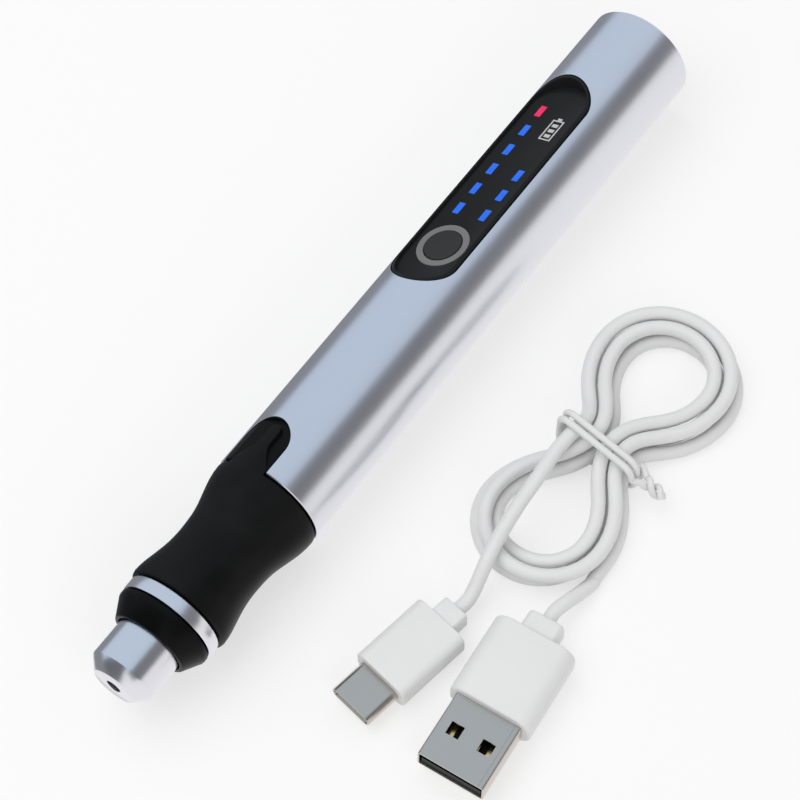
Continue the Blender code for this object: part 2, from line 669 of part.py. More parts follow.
def bearing(prefix, station, fixed, turning, looks):
    """Ball bearing: two grooved rings, and the balls in their cage between them."""
    middle = station + BEARING_WIDTH / 2
    rear = station + BEARING_WIDTH
    path = (BEARING_RADIUS + BEARING_BORE) / 2
    outer_bore = BEARING_RADIUS - race_wall
    inner_rim = BEARING_BORE + race_wall
    groove = ball_radius * GROOVE_SHARE
    outline = [
        (station, outer_bore), (station, BEARING_RADIUS), (rear, BEARING_RADIUS), (rear, outer_bore),
        (middle + groove, outer_bore), (middle, path + ball_radius + SOLDER), (middle - groove, outer_bore),
    ]
    turned(prefix + "_outer_ring", outline, SHAFT_SIDES, looks["steel"], fixed)
    outline = [
        (station, BEARING_BORE), (station, inner_rim), (middle - groove, inner_rim),
        (middle, path - ball_radius - SOLDER), (middle + groove, inner_rim), (rear, inner_rim),
        (rear, BEARING_BORE),
    ]
    turned(prefix + "_inner_ring", outline, SHAFT_SIDES, looks["steel"], turning)
    cage_front = middle - CAGE_WIDTH / 2
    cage_rear = middle + CAGE_WIDTH / 2
    cage = [(cage_front, path - cage_wall / 2), (cage_front, path + cage_wall / 2),
            (cage_rear, path + cage_wall / 2), (cage_rear, path - cage_wall / 2)]
    cage = turned(prefix + "_cage", cage, SHAFT_SIDES, looks["steel"], turning)
    balls = bmesh.new()
    for index in range(BALL_COUNT):
        angle = math.tau * (index + 0.5) / BALL_COUNT
        place = Matrix.Translation((middle, path * math.sin(angle), path * math.cos(angle)))
        bmesh.ops.create_icosphere(balls, subdivisions=1, radius=ball_radius, matrix=place)
    combine(cage, cutter(prefix + "_balls", balls, looks["steel"], turning), "UNION")


def build_spindle(parent, looks):
    """Hollow shaft: threaded nose, shoulder, bearing journal and tail."""
    seat_rear = spindle_front + COLLET_SEAT_DEPTH
    bore_rear = spindle_front + SPINDLE_BORE_DEPTH
    bore = COLLET_BORE_RADIUS + RUNNING
    outline = [
        (bore_rear, 0.0), (bore_rear, bore), (seat_rear, bore),
        (seat_rear, collet_bore_in_spindle), (spindle_front, collet_bore_in_spindle),
        (spindle_front, THREAD_RADIUS), (shoulder_front, THREAD_RADIUS),
        (shoulder_front, shoulder_radius), (front_bearing - CLEAR, shoulder_radius),
        (front_bearing - CLEAR, journal_radius), (journal_rear, journal_radius),
        (journal_rear, SPINDLE_TAIL_RADIUS), (spindle_rear, SPINDLE_TAIL_RADIUS), (spindle_rear, 0.0),
    ]
    turned("spindle", outline, SHAFT_SIDES, looks["steel"], parent)


def build_shaft_line(fixed, turning, looks):
    """What the shaft carries: spacer, circlip and coupling, with the fixed seal."""
    front = front_bearing + BEARING_WIDTH + CLEAR
    rear = rear_bearing - CLEAR
    spacer = [(front, BEARING_BORE), (front, shoulder_radius), (rear, shoulder_radius), (rear, BEARING_BORE)]
    turned("bearing_spacer", spacer, SHAFT_SIDES, looks["brass"], turning)

    seal = [(seal_front, seal_inner), (seal_front, BEARING_RADIUS - RUNNING),
            (seal_rear, BEARING_RADIUS - RUNNING), (seal_rear, seal_inner)]
    turned("dust_seal", seal, SHAFT_SIDES, looks["rubber"], fixed)

    clip_rear = circlip_front + CIRCLIP_WIDTH
    clip = [(circlip_front, BEARING_BORE), (circlip_front, shoulder_radius),
            (clip_rear, shoulder_radius), (clip_rear, BEARING_BORE)]
    circlip = turned("spindle_circlip", clip, SHAFT_SIDES, looks["steel"], turning)
    opening = bmesh.new()
    add_box(opening, (circlip_front, 0.0, shoulder_radius),
            (CIRCLIP_WIDTH * 2 + OVERRUN, CIRCLIP_OPENING, shoulder_radius * 2))
    combine(circlip, cutter("circlip_opening", opening, looks["steel"], turning), "DIFFERENCE")

    split = spindle_rear + CLEAR
    motor_bore = MOTOR_SHAFT_RADIUS + RUNNING
    coupling = [
        (coupling_front, SPINDLE_TAIL_RADIUS + CLEAR), (coupling_front, COUPLING_RADIUS),
        (coupling_rear, COUPLING_RADIUS), (coupling_rear, motor_bore),
        (split, motor_bore), (split, SPINDLE_TAIL_RADIUS + CLEAR),
    ]
    turned("shaft_coupling", coupling, SHAFT_SIDES, looks["brass"], turning)


def pole_outline():
    """Section of the wound core: round shoes on narrow necks."""
    points = []
    tip_radius = armature_radius - POLE_TIP
    neck_angle = math.asin(POLE_NECK / 2 / ARMATURE_CORE_RADIUS)
    neck_tip_angle = math.asin(POLE_NECK / 2 / tip_radius)
    for pole in range(POLE_COUNT):
        middle = math.tau * pole / POLE_COUNT
        half = POLE_ANGLE / 2
        corners = [(ARMATURE_CORE_RADIUS, -neck_angle), (tip_radius, -neck_tip_angle), (tip_radius, -half)]
        corners += [(armature_radius, half * share) for share in (-1.0, -0.5, 0.0, 0.5, 1.0)]
        corners += [(tip_radius, half), (tip_radius, neck_tip_angle), (ARMATURE_CORE_RADIUS, neck_angle)]
        points += [(r * math.cos(middle + a), r * math.sin(middle + a)) for r, a in corners]
    return points


def build_motor(fixed, turning, looks):
    """Small motor: can, ring magnet, wound core on its shaft, rear cap and terminals."""
    shaft_hole = MOTOR_SHAFT_RADIUS + CLEAR
    inner = motor_inner
    can = [(motor_front, shaft_hole), (motor_front, motor_radius), (motor_rear, motor_radius),
           (motor_rear, inner), (motor_front + MOTOR_FACE, inner), (motor_front + MOTOR_FACE, shaft_hole)]
    turned("motor_can", can, SLEEVE_SIDES, looks["steel"], fixed)

    spigot_rear = motor_rear + CLEAR
    spigot_front_face = motor_rear - MOTOR_CAP_SPIGOT
    cap = [(motor_cap_rear, 0.0), (motor_cap_rear, motor_radius), (spigot_rear, motor_radius),
           (spigot_rear, inner - CLEAR), (spigot_front_face, inner - CLEAR), (spigot_front_face, 0.0)]
    turned("motor_end_cap", cap, SLEEVE_SIDES, looks["black"], fixed)

    core_front = motor_front + MOTOR_FACE + OVERRUN
    outer = inner - CLEAR
    core_rear = core_front + ARMATURE_LENGTH
    magnet = [(core_front, outer - MAGNET_THICKNESS), (core_front, outer), (core_rear, outer),
              (core_rear, outer - MAGNET_THICKNESS)]
    turned("motor_magnet", magnet, SLEEVE_SIDES, looks["magnet"], fixed)

    core = bmesh.new()
    add_prism(core, pole_outline(), core_front, core_front + ARMATURE_LENGTH, axis="X")
    armature = solid("motor_armature", core, looks["copper"], turning)
    bore = bmesh.new()
    angles = [math.tau * index / SMALL_SIDES for index in range(SMALL_SIDES)]
    hole = [(math.cos(angle) * shaft_hole, math.sin(angle) * shaft_hole) for angle in angles]
    add_prism(bore, hole, core_front - OVERRUN, core_front + ARMATURE_LENGTH + OVERRUN, axis="X")
    combine(armature, cutter("armature_bore", bore, looks["copper"], turning), "DIFFERENCE")

    shaft_front = spindle_rear + CLEAR * 2
    shaft_rear = spigot_front_face - CLEAR
    shaft = [(shaft_front, 0.0), (shaft_front, MOTOR_SHAFT_RADIUS), (shaft_rear, MOTOR_SHAFT_RADIUS),
             (shaft_rear, 0.0)]
    turned("motor_shaft", shaft, SMALL_SIDES, looks["steel"], turning)

    for name, side in (("motor_terminal_left", 1.0), ("motor_terminal_right", -1.0)):
        terminal = bmesh.new()
        centre = (motor_cap_rear + CLEAR + TERMINAL_LENGTH / 2, side * TERMINAL_SPREAD, 0.0)
        add_box(terminal, centre, (TERMINAL_LENGTH, TERMINAL_THICKNESS, TERMINAL_WIDTH))
        solid(name, terminal, looks["brass"], fixed, smooth=False)


def bar_places():
    """Station and side of each light bar: the blue ones, then the red one."""
    blue = [(first_bar + bar_pitch * i, LEFT_COLUMN) for i in range(LEFT_BLUE_BARS)]
    blue += [(first_bar + bar_pitch * i, -RIGHT_COLUMN) for i in range(RIGHT_BLUE_BARS)]
    red = [(first_bar + bar_pitch * LEFT_BLUE_BARS, LEFT_COLUMN)]
    return blue, red


def build_panel(parent, looks):
    """Black insert: rim flush with the barrel, flat face below it, holes for lights and button."""
    shape = bmesh.new()
    front = panel_front + CLEAR
    rear = panel_rear - CLEAR
    half_width = PANEL_HALF_WIDTH - CLEAR
    add_prism(shape, stadium(front, rear, half_width), panel_underside, barrel_radius + OVERRUN)
    window = solid("panel_window", shape, looks["gloss"], parent)

    round_top = [(panel_front - OVERRUN, 0.0), (panel_front - OVERRUN, barrel_radius - PANEL_SINK),
                 (panel_rear + OVERRUN, barrel_radius - PANEL_SINK), (panel_rear + OVERRUN, 0.0)]
    crown = cutter("panel_crown", turned_shape(round_top, BARREL_SIDES), looks["gloss"], parent)
    combine(window, crown, "INTERSECT")

    pocket = bmesh.new()
    inset = stadium(front + PANEL_LIP, rear - PANEL_LIP, half_width - PANEL_LIP)
    add_prism(pocket, inset, panel_height, barrel_radius + OVERRUN)
    combine(window, cutter("panel_pocket", pocket, looks["gloss"], parent), "DIFFERENCE")

    holes = bmesh.new()
    low = panel_underside - OVERRUN
    high = panel_height + OVERRUN
    add_cylinder(holes, button_station, 0.0, ring_outer + CLEAR, low, high, SHAFT_SIDES)
    blue, red = bar_places()
    middle = (low + high) / 2
    for station, side in blue + red:
        size = (BAR_LENGTH + BAR_CLEAR * 2, BAR_WIDTH + BAR_CLEAR * 2, high - low)
        add_box(holes, (station, side, middle), size)
    combine(window, cutter("panel_holes", holes, looks["gloss"], parent), "DIFFERENCE")


def build_lights(parent, looks):
    """Clear light guide whose bars stand in the panel's windows, with its own one for the red light."""
    blue, red = bar_places()
    plate_top = panel_underside - CLEAR
    plate_low = plate_top - GUIDE_PLATE
    high = panel_height + BAR_PROUD
    rear_blue = blue[LEFT_BLUE_BARS - 1][0]
    edge = bar_pitch - BAR_LENGTH
    plates = {
        "light_guide": (blue, first_bar - BAR_LENGTH / 2 - GUIDE_EDGE, rear_blue + edge / 2 + CLEAR,
                        LEFT_COLUMN + BAR_WIDTH, "blue"),
        "red_light_guide": (red, red[0][0] - edge / 2 - CLEAR, red[0][0] + BAR_LENGTH / 2 + GUIDE_EDGE,
                            LEFT_COLUMN + BAR_WIDTH, "red"),
    }
    for name, (places, front, rear, half_width, look) in plates.items():
        shape = bmesh.new()
        centre = ((front + rear) / 2, 0.0, (plate_low + plate_top) / 2)
        add_box(shape, centre, (rear - front, half_width * 2, GUIDE_PLATE))
        guide = solid(name, shape, looks[look], parent, smooth=False)
        bars = bmesh.new()
        low = (plate_low + plate_top) / 2
        for station, side in places:
            add_box(bars, (station, side, (low + high) / 2), (BAR_LENGTH, BAR_WIDTH, high - low))
        combine(guide, cutter(name + "_bars", bars, looks[look], parent), "UNION")


def upright(name, outline, centre, sides, material, parent):
    """Turn an outline of (height, radius) points about an upright axis at a station."""
    shape = turned_shape(outline, sides)
    bmesh.ops.rotate(shape, verts=shape.verts[:], cent=(0.0, 0.0, 0.0),
                     matrix=Matrix.Rotation(-math.pi / 2, 3, "Y"))
    item = make_object(name, to_mesh(name, shape), material, parent)
    item.location = (centre, 0.0, 0.0)
    return item


def build_button(parent, looks):
    """Push button with its flange under the grey ring, and the switch that it presses."""
    ring = [(panel_underside, BUTTON_RADIUS + CLEAR), (panel_underside, ring_outer),
            (panel_height + RING_PROUD, ring_outer), (panel_height + RING_PROUD, BUTTON_RADIUS + CLEAR)]
    upright("button_ring", ring, button_station, SLEEVE_SIDES, looks["grey"], parent)

    top = panel_height + BUTTON_PROUD
    flange_top = panel_underside - CLEAR
    flange_low = flange_top - BUTTON_FLANGE
    button = [(flange_low, 0.0), (flange_low, BUTTON_FLANGE_RADIUS), (flange_top, BUTTON_FLANGE_RADIUS),
              (flange_top, BUTTON_RADIUS), (top - BUTTON_EDGE, BUTTON_RADIUS),
              (top, BUTTON_RADIUS - BUTTON_EDGE), (top, 0.0)]
    upright("power_button", button, button_station, SLEEVE_SIDES, looks["button"], parent)

    switch_low = board_top + SOLDER
    switch_top = switch_low + SWITCH_HEIGHT
    body = bmesh.new()
    add_box(body, (button_station, 0.0, (switch_low + switch_top) / 2),
            (SWITCH_SIZE, SWITCH_SIZE, SWITCH_HEIGHT))
    switch = solid("tact_switch", body, looks["steel"], parent, smooth=False)
    hole = bmesh.new()
    add_cylinder(hole, button_station, 0.0, PLUNGER_RADIUS + CLEAR, switch_low - OVERRUN,
                 switch_top + OVERRUN, SMALL_SIDES)
    combine(switch, cutter("switch_hole", hole, looks["steel"], parent), "DIFFERENCE")

    plunger_low = switch_low + BUTTON_TRAVEL + SOLDER
    plunger_top = switch_top + PLUNGER_REACH
    plunger = [(plunger_low, 0.0), (plunger_low, PLUNGER_RADIUS), (plunger_top, PLUNGER_RADIUS),
               (plunger_top, 0.0)]
    upright("switch_plunger", plunger, button_station, SMALL_SIDES, looks["black"], parent)


def build_tray(parent, looks):
    """Trough that carries cell and board: half a tube with two bulkheads."""
    front_face = tray_front + BULKHEAD
    rear_face = screw_bulkhead_front + SCREW_BULKHEAD
    outline = [
        (tray_front, carrier_radius), (tray_rear, carrier_radius), (tray_rear, tray_inner),
        (rear_face, tray_inner), (rear_face, WIRE_HOLE_RADIUS),
        (screw_bulkhead_front, WIRE_HOLE_RADIUS), (screw_bulkhead_front, tray_inner),
        (front_face, tray_inner), (front_face, WIRE_HOLE_RADIUS), (tray_front, WIRE_HOLE_RADIUS),
    ]
    tray = turned("chassis_tray", outline, SLEEVE_SIDES, looks["black"], parent)
    above = bmesh.new()
    height = barrel_radius + OVERRUN - rail_top
    middle = (tray_front + tray_rear) / 2
    length = tray_rear - tray_front + OVERRUN * 2
    add_box(above, (middle, 0.0, rail_top + height / 2), (length, barrel_radius * 2 + OVERRUN, height))
    combine(tray, cutter("tray_open_top", above, looks["black"], parent), "DIFFERENCE")
    combine(tray, screw_holes(parent, looks, "tray_screw_holes"), "DIFFERENCE")


def screw_holes(parent, looks, name):
    """Holes for the two board screws."""
    holes = bmesh.new()
    low = board_top - SCREW_LENGTH - CLEAR
    for side in (-SCREW_SPREAD, SCREW_SPREAD):
        add_cylinder(holes, screw_station, side, SCREW_RADIUS + CLEAR, low, board_top + OVERRUN, SMALL_SIDES)
    return cutter(name, holes, looks["black"], parent)


def build_board(parent, looks):
    """Circuit board on the tray's rails, with its larger parts and its screws."""
    front = tray_front + CLEAR
    rear = tray_rear - CLEAR
    shape = bmesh.new()
    centre = ((front + rear) / 2, 0.0, (board_bottom + board_top) / 2)
    add_box(shape, centre, (rear - front, board_half_width * 2, BOARD_THICKNESS))
    board = solid("circuit_board", shape, looks["board"], parent, smooth=False)
    combine(board, screw_holes(parent, looks, "board_screw_holes"), "DIFFERENCE")

    low = board_top - PART_SINK
    parts = bmesh.new()
    blue, red = bar_places()
    middle = (first_bar + red[0][0]) / 2
    add_part(parts, middle, 0.0, low, (CONTROLLER_SIZE, CONTROLLER_SIZE), CONTROLLER_HEIGHT)
    add_part(parts, rear - CHARGER_SETBACK, 0.0, low, (CHARGER_SIZE, CHARGER_SIZE), CONTROLLER_HEIGHT)
    add_part(parts, rear - COIL_SETBACK, 0.0, low, (COIL_SIZE, COIL_SIZE), COIL_HEIGHT)
    for station, side in blue + red:
        add_part(parts, station, side, low, (CHIP_LENGTH, CHIP_WIDTH), CHIP_HEIGHT)
    combine(board, cutter("soldered_parts", parts, looks["board"], parent), "UNION")

    shank_low = board_top - SCREW_LENGTH
    seat = board_top + SOLDER
    for name, side in (("board_screw_left", SCREW_SPREAD), ("board_screw_right", -SCREW_SPREAD)):
        outline = [(shank_low, 0.0), (shank_low, SCREW_RADIUS), (seat, SCREW_RADIUS),
                   (seat, SCREW_HEAD_RADIUS), (seat + SCREW_HEAD, SCREW_HEAD_RADIUS),
                   (seat + SCREW_HEAD, 0.0)]
        screw = upright(name, outline, screw_station, SMALL_SIDES, looks["steel"], parent)
        screw.location.y = side


def add_part(shape, station, side, low, plan, height):
    """Add a soldered part that stands on the board at a place, sunk into it a little."""
    top = board_top + height
    add_box(shape, (station, side, (low + top) / 2), (*plan, top - low))


def build_cell(parent, looks):
    """Rechargeable cell lying in the tray."""
    rear = cell_front + CELL_LENGTH
    body_rear = rear - CELL_NUB
    outline = [
        (cell_front, 0.0), (cell_front, CELL_RADIUS - CELL_EDGE), (cell_front + CELL_EDGE, CELL_RADIUS),
        (body_rear - CELL_EDGE, CELL_RADIUS), (body_rear, CELL_RADIUS - CELL_EDGE),
        (body_rear, CELL_NUB_RADIUS), (rear, CELL_NUB_RADIUS), (rear, 0.0),
    ]
    cell = turned("battery_cell", outline, SLEEVE_SIDES, looks["cell"], parent)
    cell.location = (0.0, 0.0, cell_height)


def racetrack(half_width, half_height):
    """Outline of a flat oval across the pen, round at its two sides."""
    points = []
    for side, start in ((1.0, -math.pi / 2), (-1.0, math.pi / 2)):
        centre = side * (half_width - half_height)
        for index in range(ARC_STEPS + 1):
            angle = start + math.pi * index / ARC_STEPS
            points.append((centre + half_height * math.cos(angle), half_height * math.sin(angle)))
    return points


def oval_tube(name, half_width, half_height, wall, front, rear, material, parent):
    """Thin oval tube along X, open at both ends."""
    shape = bmesh.new()
    loops = []
    for inset in (0.0, wall):
        outline = racetrack(half_width - inset, half_height - inset)
        for station in (front, rear):
            loops.append([shape.verts.new((station, y, z)) for y, z in outline])
    outer_front, outer_rear, inner_front, inner_rear = loops
    count = len(outer_front)
    for first, second in ((outer_front, outer_rear), (outer_rear, inner_rear),
                          (inner_rear, inner_front), (inner_front, outer_front)):
        for index in range(count):
            after = (index + 1) % count
            shape.faces.new((first[index], first[after], second[after], second[index]))
    return solid(name, shape, material, parent)


def build_rear(parent, looks):
    """End cap with the charging socket on its small board."""
    ledge = charge_board_rear + CLEAR
    inner = carrier_radius - CAP_WALL
    face_front = cap_face - CAP_FACE
    outline = [
        (cap_face, 0.0), (cap_face, carrier_radius), (cap_front, carrier_radius), (cap_front, inner),
        (ledge, inner), (ledge, inner - CAP_LEDGE), (face_front, inner - CAP_LEDGE), (face_front, 0.0),
    ]
    cap = turned("end_cap", outline, SLEEVE_SIDES, looks["black"], parent)
    port = bmesh.new()
    add_prism(port, racetrack(SOCKET_HALF_WIDTH + CLEAR, SOCKET_HALF_HEIGHT + CLEAR),
              face_front - OVERRUN, cap_face + OVERRUN, axis="X")
    combine(cap, cutter("port_opening", port, looks["black"], parent), "DIFFERENCE")

    board = [(charge_board_front, 0.0), (charge_board_front, inner - CLEAR),
             (charge_board_rear, inner - CLEAR), (charge_board_rear, 0.0)]
    turned("charge_board", board, SHAFT_SIDES, looks["board"], parent)

    oval_tube("usb_socket_shell", SOCKET_HALF_WIDTH, SOCKET_HALF_HEIGHT, SOCKET_WALL,
              socket_front, socket_rear, looks["steel"], parent)
    contacts = bmesh.new()
    gap = SOCKET_WALL + CLEAR / 2
    add_prism(contacts, racetrack(SOCKET_HALF_WIDTH - gap, SOCKET_HALF_HEIGHT - gap),
              socket_front, socket_front + SOCKET_BASE, axis="X")
    base = solid("usb_socket_contacts", contacts, looks["black"], parent)
    tongue = bmesh.new()
    low = socket_front + SOCKET_BASE / 2
    high = socket_rear - SOCKET_TONGUE_SETBACK
    add_box(tongue, ((low + high) / 2, 0.0, 0.0), (high - low, SOCKET_TONGUE_WIDTH, SOCKET_TONGUE_THICKNESS))
    combine(base, cutter("socket_tongue", tongue, looks["black"], parent), "UNION")


def hank_track(turns):
    """Innermost line of the hank on the plan: out round the right lobe, back, round the left."""
    step = (turns % 1.0) * POINTS_PER_TURN
    half = POINTS_PER_TURN / 2
    right = step < half
    reach = RIGHT_LOBE_REACH if right else LEFT_LOBE_REACH
    radius = RIGHT_LOBE_RADIUS if right else LEFT_LOBE_RADIUS
    waist = CORD_RADIUS + WAIST_HALF_GAP
    step = step % half
    arc_steps = half - SIDE_POINTS * 2
    if step <= SIDE_POINTS or step >= half - SIDE_POINTS:
        leaving = step <= SIDE_POINTS
        share = (step if leaving else half - step) / SIDE_POINTS
        along = reach * share
        across = (waist + (radius - waist) * blend(share)) * (1.0 if leaving else -1.0)
    else:
        angle = math.pi * (step - SIDE_POINTS) / arc_steps
        along = reach + radius * math.sin(angle)
        across = radius * math.cos(angle)
    return Vector((along, -across, 0.0)) if right else Vector((-along, across, 0.0))


def hank_place(turns):
    """Centre line of the hank in its own frame after a number of turns.

    The loops lie beside each other, a pitch apart square to the cord. They spiral
    in over the lower layer, climb to the upper layer round the right lobe, and
    spiral out again.
    """
    middle = HANK_TURNS / 2
    near = 1.0 / POINTS_PER_TURN / POINTS_PER_TURN
    heading = (hank_track(turns + near) - hank_track(turns - near)).normalized()
    outward = Vector((heading.y, -heading.x, 0.0))
    place = hank_track(turns) + outward * pitch * abs(turns - middle)
    climb = blend((turns - middle) * 2.0 + 0.5)
    lift = WAIST_LIFT * (1.0 - blend(abs(place.x) / WAIST_LIFT_REACH))
    place.rotate(Matrix.Rotation(HANK_FAN * (climb - 0.5), 3, "Z"))
    place.z = CORD_RADIUS + lift + pitch * climb
    return place


def hank_route():
    """Points of the hank's one unbroken tube, in its own frame."""
    first = -HANK_START_POINTS
    last = round(HANK_TURNS * POINTS_PER_TURN)
    points = [hank_place(index / POINTS_PER_TURN) for index in range(first, last + 1)]
    start = points[0] + Vector((-CORD_RADIUS * 2, 0.0, 0.0))
    leaving = points[-1].copy()
    points += [leaving + Vector((-LEAVING_LENGTH * share, 0.0, 0.0)) for share in (0.5, 1.0)]
    points.append(points[-1] + Vector((-CORD_RADIUS * 2, 0.0, 0.0)))
    for point in points[-LEAVING_POINTS:]:
        point.z = leaving.z + LEAVING_CLIMB * blend((LEAVING_START - point.x) / LEAVING_RUN)
    return [start] + points


def on_table(points):
    """Move points from the hank's frame to the table."""
    turn = Matrix.Translation((HANK_X, HANK_Y, 0.0)) @ Matrix.Rotation(HANK_TURN, 4, "Z")
    return [turn @ point for point in points]


def smooth_route(points, spacing):
    """Evenly spaced points on a smooth curve through the given ones."""
    padded = [points[0] * 2 - points[1]] + points + [points[-1] * 2 - points[-2]]
    dense = []
    fine = 24
    for index in range(1, len(padded) - 2):
        before, start, end, after = padded[index - 1:index + 3]
        for part in range(fine):
            t = part / fine
            bend = start * 2 + (end - before) * t + (before * 2 - start * 5 + end * 4 - after) * t ** 2
            bend += (start * 3 - before - end * 3 + after) * t ** 3
            dense.append(bend / 2)
    dense.append(points[-1])
    lengths = [0.0]
    for first, second in zip(dense, dense[1:]):
        lengths.append(lengths[-1] + (second - first).length)
    count = max(2, round(lengths[-1] / spacing))
    result = []
    index = 0
    for stop in range(count + 1):
        goal = lengths[-1] * stop / count
        while index < len(lengths) - 2 and lengths[index + 1] < goal:
            index += 1
        span = lengths[index + 1] - lengths[index]
        result.append(dense[index].lerp(dense[index + 1], (goal - lengths[index]) / span))
    return result


def tube(name, points, radius, resolution, material):
    """A cord: a curve with a round section and closed ends."""
    curve = bpy.data.curves.new(name, "CURVE")
    curve.dimensions = "3D"
    curve.bevel_depth = radius
    curve.bevel_resolution = resolution
    curve.use_fill_caps = True
    curve.resolution_u = 1
    curve.render_resolution_u = 0
    line = curve.splines.new("POLY")
    line.points.add(len(points) - 1)
    for spot, place in zip(line.points, points):
        spot.co = (*place, 1.0)
    item = bpy.data.objects.new(name, curve)
    bpy.context.collection.objects.link(item)
    item.data.materials.append(material)
    return item


def route_length(points):
    """Length of a line through points."""
    return sum((second - first).length for first, second in zip(points, points[1:]))


def least_gap(points, radius):
    """Least free gap between stretches of one tube that aren't neighbours."""
    dense = []
    travelled = 0.0
    for first, second in zip(points, points[1:]):
        length = (second - first).length
        pieces = max(1, math.ceil(length / (radius / 2)))
        for part in range(pieces):
            dense.append((travelled + length * part / pieces, first.lerp(second, part / pieces)))
        travelled += length
    least = math.inf
    for index, (here, place) in enumerate(dense):
        for there, other in dense[index + 1:]:
            if there - here > radius * 8:
                least = min(least, (other - place).length - radius * 2)
    return least


def plug_frame(name, tip_x, tip_y, heading, height):
    """Empty at a plug's tip, with X pointing back along the plug."""
    frame = bpy.data.objects.new(name, None)
    bpy.context.collection.objects.link(frame)
    frame.location = (tip_x, tip_y, height)
    frame.rotation_euler = (0.0, 0.0, heading + math.pi)
    return frame


def plug_rear(tip_x, tip_y, heading, height, length):
    """Centre of a plug's rear face on the table, and the way back from it."""
    back = Vector((-math.cos(heading), -math.sin(heading), 0.0))
    return Vector((tip_x, tip_y, height)) + back * length, back


def moulding(name, body, collar, edge, front, hollow, material, parent):
    """Plug body with a smaller collar behind it, and a pocket for the metal shell."""
    body_length, body_width, body_height = body
    collar_length, collar_width, collar_height = collar
    shape = bmesh.new()
    add_box(shape, (front + body_length / 2, 0.0, 0.0), body)
    bmesh.ops.bevel(shape, geom=shape.edges[:], offset=edge, segments=3, affect="EDGES", profile=0.5)
    item = solid(name, shape, material, parent)
    neck = bmesh.new()
    neck_front = front + body_length - edge
    neck_length = collar_length + edge
    add_box(neck, (neck_front + neck_length / 2, 0.0, 0.0), (neck_length, collar_width, collar_height))
    long_edges = [e for e in neck.edges if abs(e.verts[0].co.x - e.verts[1].co.x) > collar_length]
    bmesh.ops.bevel(neck, geom=long_edges, offset=collar_height / 4, segments=2, affect="EDGES", profile=0.5)
    combine(item, cutter(name + "_collar", neck, material, parent), "UNION")
    pocket = bmesh.new()
    half_width, half_height = hollow
    add_prism(pocket, [(half_width, -half_height), (half_width, half_height), (-half_width, half_height),
                       (-half_width, -half_height)], front - OVERRUN, front + PLUG_TUCK + CLEAR, axis="X")
    combine(item, cutter(name + "_pocket", pocket, material, parent), "DIFFERENCE")
    return item


def build_small_plug(looks):
    """Reversible plug: oval shell with its contact tongues, in a white moulding."""
    frame = plug_frame("small_plug_tip", C_TIP_X, C_TIP_Y, C_HEADING, C_BODY_HEIGHT / 2)
    rear = C_SHELL_LENGTH + PLUG_TUCK
    oval_tube("usb_c_shell", C_SHELL_HALF_WIDTH, C_SHELL_HALF_HEIGHT, C_SHELL_WALL, 0.0, rear,
              looks["plug"], frame)
    contacts = bmesh.new()
    gap = C_SHELL_WALL + RUNNING
    add_prism(contacts, racetrack(C_SHELL_HALF_WIDTH - gap, C_SHELL_HALF_HEIGHT - gap),
              C_SHELL_LENGTH - PLUG_TUCK, rear, axis="X")
    block = solid("usb_c_contacts", contacts, looks["black"], frame)
    rows = bmesh.new()
    offset = C_SHELL_HALF_HEIGHT - gap - C_CONTACT_THICKNESS / 2 - SOLDER
    length = C_SHELL_LENGTH - PLUG_TUCK
    for side in (-1.0, 1.0):
        add_box(rows, (PLUG_TUCK / 2 + length / 2 + SOLDER, 0.0, side * offset),
                (length, C_CONTACT_WIDTH, C_CONTACT_THICKNESS))
    combine(block, cutter("contact_rows", rows, looks["black"], frame), "UNION")
    moulding("usb_c_grip", (C_BODY_LENGTH, C_BODY_WIDTH, C_BODY_HEIGHT),
             (C_COLLAR_LENGTH, C_COLLAR_WIDTH, C_COLLAR_HEIGHT), C_BODY_EDGE, C_SHELL_LENGTH,
             (C_SHELL_HALF_WIDTH + CLEAR, C_SHELL_HALF_HEIGHT + CLEAR), looks["white"], frame)


def box_tube(name, half_width, half_height, wall, front, rear, material, parent):
    """Thin rectangular tube along X, open at both ends."""
    shape = bmesh.new()
    loops = []
    for inset in (0.0, wall):
        w, h = half_width - inset, half_height - inset
        for station in (front, rear):
            loops.append([shape.verts.new((station, y, z)) for y, z in ((w, -h), (w, h), (-w, h), (-w, -h))])
    outer_front, outer_rear, inner_front, inner_rear = loops
    for first, second in ((outer_front, outer_rear), (outer_rear, inner_rear),
                          (inner_rear, inner_front), (inner_front, outer_front)):
        for index in range(4):
            after = (index + 1) % 4
            shape.faces.new((first[index], first[after], second[after], second[index]))
    return solid(name, shape, material, parent, smooth=False)


